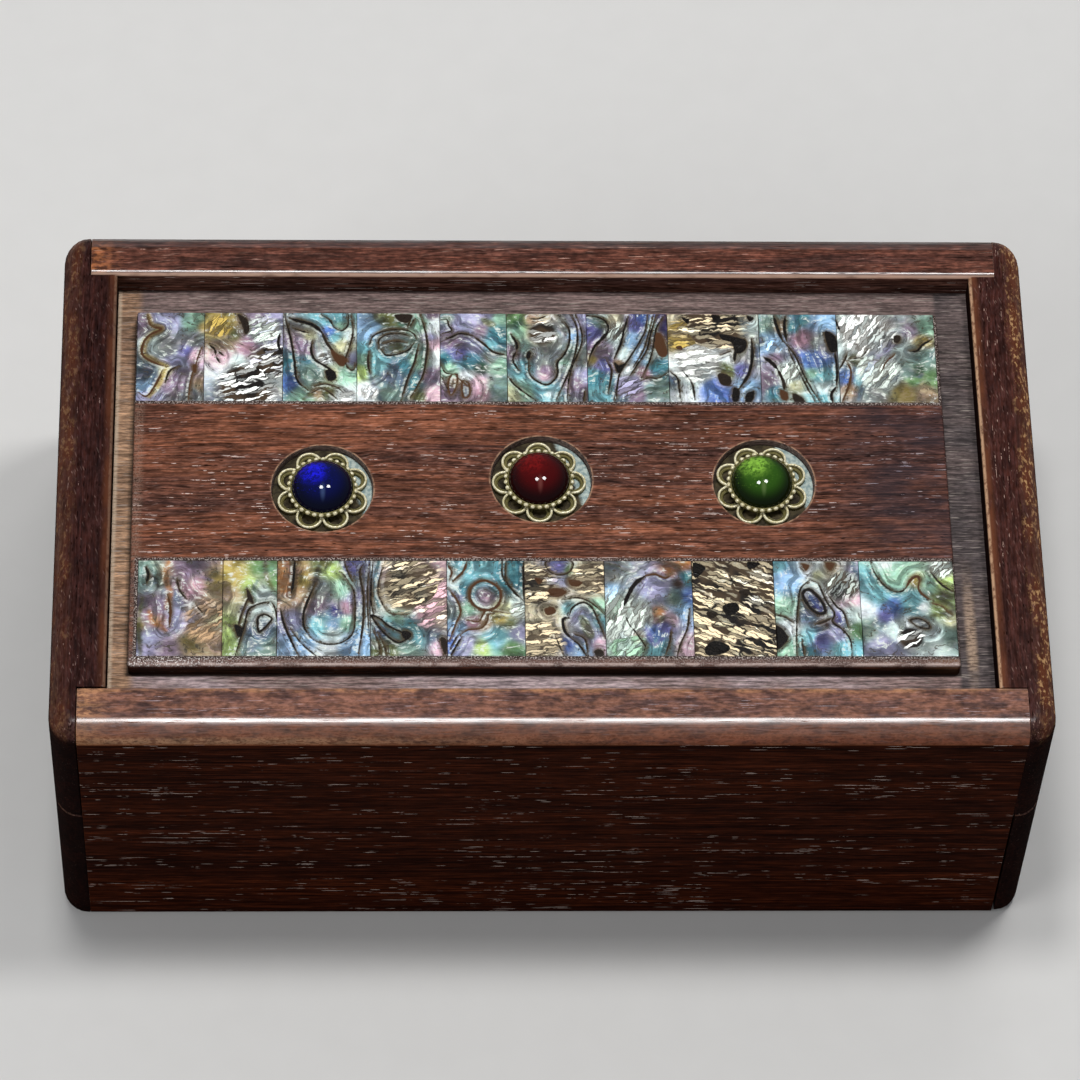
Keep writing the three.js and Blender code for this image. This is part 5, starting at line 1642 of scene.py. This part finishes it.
# %% Jewel finishes
def brass_material(name, raised):
    """Brass that has gone dark, rubbed bright where it stands up: raised(tree) says where that is."""
    material, tree, shader = new_material(name)
    place = object_place(tree)
    mottle = noise(place, 2.6, 4, 0.6)
    uneven = times(minus(mottle, 0.5), 0.6)
    shine = ramp(plus(raised(tree), uneven), 0.3, 0.72)
    bright = blend(ramp(mottle, 0.35, 0.65), (0.62, 0.54, 0.28), (0.95, 0.90, 0.66))
    tone = blend(shine, (0.19, 0.165, 0.055), bright)
    green = ramp(noise(place, 1.1, 3), 0.5, 0.68, 0, 0.5)
    hidden = times(green, minus(1.0, shine))
    tone = blend(hidden, tone, (0.10, 0.095, 0.035))
    feed(shader, {"Base Color": tone, "Roughness": ramp(shine, 0, 1, 0.6, 0.36),
                  "Metallic": ramp(shine, 0, 1, 0.5, 0.2)})
    bump(shader, noise(place, 9.0, 3), 0.02 * MM, 0.5)
    return material


def petal_height(tree):
    z = split(object_place(tree))[2]
    return plus(ramp(z, 58.9, 59.25), times(near(z, 58.91, 0.07), 0.4))


def bead_crest(tree):
    return attribute(tree, "edge")


def pearl_material():
    """Pale blue-white pearl shell that shows clean only on its right and is brown with glue elsewhere."""
    material, tree, shader = new_material("pearl_disc")
    place = object_place(tree)
    sides = []
    for jewel_x, jewel_y, _, _ in JEWELS.values():
        middle = (jewel_x / MM, jewel_y / MM, 58.4)
        out = vectors("SUBTRACT", place, middle)
        far = vectors("LENGTH", out)
        slant = vectors("DOT_PRODUCT", out, (0.9, 0.35, 0))
        sides.append(times(ramp(slant, 3.6, 6.0), ramp(far, 9.5, 10, 1, 0)))
    cloud = noise(place, 0.6, 4, 0.6, 0.8)
    clean = plus(largest(*sides), times(minus(cloud, 0.5), 1.0))
    pale = blend(ramp(noise(place, 1.3, 3), 0.35, 0.65), (0.26, 0.36, 0.36), (0.58, 0.66, 0.60))
    stained = blend(ramp(cloud, 0.35, 0.7), (0.020, 0.014, 0.006), (0.085, 0.065, 0.030))
    tone = blend(ramp(clean, 0.35, 0.8), stained, pale)
    feed(shader, {"Base Color": tone, "Roughness": ramp(cloud, 0.3, 0.7, 0.35, 0.6),
                  "Specular IOR Level": 0.15})
    bump(shader, noise(stretch(place, (1, 3, 1)), 1.5, 4), 0.03 * MM, 0.4)
    return material


def stone_material(name, middle, tones, patch, reach):
    """Glass over foil: a deep rim, a darker body, a painted bright patch where the light gathers, painted
    glints of sparkle in it, and a painted pale reflection below the middle. Places are millimetres from the
    stone's middle."""
    deep, body, bright, painted_reflection_tone = tones
    material, tree, shader = new_material(name)
    centre = (middle[0] / MM, middle[1] / MM, 59.4)
    from_centre = vectors("SUBTRACT", object_place(tree), centre)
    flat = stretch(from_centre, (1, 1, 0))
    out = vectors("LENGTH", flat)
    tone = blend(ramp(out, 2.2, 4.7), body, deep)
    gather = vectors("DISTANCE", flat, (*patch, 0))
    crumbs = noise(from_centre, 1.5, 4, 0.7, 0.5)
    spots = noise(from_centre, 4.0, 2, 0.6)
    # Painted light: a bright patch where the glass gathers light
    painted_gathered_light = times(ramp(gather, 0.25 * reach, reach, 1, 0), ramp(crumbs, 0.4, 0.6, 0.15, 1))
    tone = blend(painted_gathered_light, tone, bright)
    # Painted glints of sparkle in and around that patch
    painted_glints = times(ramp(gather, 0.5 * reach, 1.6 * reach, 1, 0), ramp(spots, 0.62, 0.7, 0, 0.8))
    tone = blend(painted_glints, tone, bright)
    # Painted reflection: a pale patch below the middle
    below = vectors("DISTANCE", stretch(flat, (2.4, 0.8, 0)), (0.2, -1.9, 0))
    tone = blend(ramp(below, 0.2, 1.5, 0.55, 0), tone, painted_reflection_tone)
    feed(shader, {"Base Color": tone, "Roughness": ramp(crumbs, 0.3, 0.7, 0.32, 0.45),
                  "Specular IOR Level": 0.0, "Coat Weight": 1.0, "Coat Roughness": 0.03, "Coat IOR": 1.3})
    return material


def steel_material():
    material, tree, shader = new_material("brushed_steel")
    place = object_place(tree)
    brush = noise(place, (6.0, 0.4, 6.0), 4, 0.6)
    tone = blend(ramp(brush, 0.3, 0.7), (0.36, 0.36, 0.37), (0.58, 0.58, 0.57))
    feed(shader, {"Base Color": tone, "Roughness": ramp(brush, 0.3, 0.7, 0.24, 0.42), "Metallic": 1.0})
    return material


flower_brass = brass_material("flower_brass", petal_height)
bead_brass = brass_material("bead_brass", bead_crest)
pearl = pearl_material()
steel = steel_material()
# Rim, body, painted bright patch and painted reflection of each stone, then where its bright patch lies and how
# far it reaches
STONES = {
    "blue": ([(0.001, 0.002, 0.012), (0.002, 0.004, 0.055), (0.012, 0.012, 0.72), (0.06, 0.10, 0.22)],
             (-1.5, 1.5), 3.2),
    "red": ([(0.010, 0.0004, 0.0008), (0.060, 0.0015, 0.002), (0.165, 0.005, 0.005), (0.20, 0.06, 0.05)],
            (-1.2, 2.0), 3.6),
    "green": ([(0.004, 0.010, 0.001), (0.026, 0.085, 0.007), (0.26, 0.52, 0.06), (0.14, 0.21, 0.07)],
              (-1.3, 2.2), 3.6),
}
for stone, (recess_x, recess_y, offset, turn) in JEWELS.items():
    x, y = recess_x + offset[0], recess_y + offset[1]
    glass = stone_material(stone + "_glass", (x, y), *STONES[stone])
    flower = sharp(flower_setting(f"{stone}_flower_brass", x, y, turn), 45)
    stands_for(flower, f"{stone}_flower_setting", flower_brass)
    bezel = sharp(bead_bezel(f"{stone}_bezel_brass", x, y, turn), 60)
    stands_for(bezel, f"{stone}_bead_bezel", bead_brass)
    stands_for(cabochon(f"{stone}_cabochon_glass", x, y), f"{stone}_cabochon", glass)
    disc = lathe(f"{stone}_pearl_shell", (recess_x, recess_y, 58.0 * MM),
                 [(8.3 * MM, 0), (8.4 * MM, 0.08 * MM), (8.4 * MM, 0.32 * MM), (8.32 * MM, 0.4 * MM)], 96)
    stands_for(sharp(disc, 40), f"{stone}_pearl_disc", pearl)
    print(stone, len(flower.data.polygons), len(bezel.data.polygons), "faces")

# %% [markdown]
# ## Lock pins
#
# Two loose steel pins lock the lid: with the box upright they have dropped outwards into the walls.
# They are cut from rod and their ends are broken round on a stone.

# %% Pins
PIN = 1.0 * MM
for node in ("front_lock_pin", "back_lock_pin"):
    low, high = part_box(node)
    length = high.y - low.y
    profile = [(PIN - 0.25 * MM, 0), (PIN - 0.07 * MM, 0.07 * MM), (PIN, 0.25 * MM), (PIN, length - 0.25 * MM),
               (PIN - 0.07 * MM, length - 0.07 * MM), (PIN - 0.25 * MM, length)]
    pin = lathe(node + "_steel", (PIN_X, low.y, PIN_Z), profile, 40, "Y")
    stands_for(sharp(pin, 60), node, steel)
print("pins made")
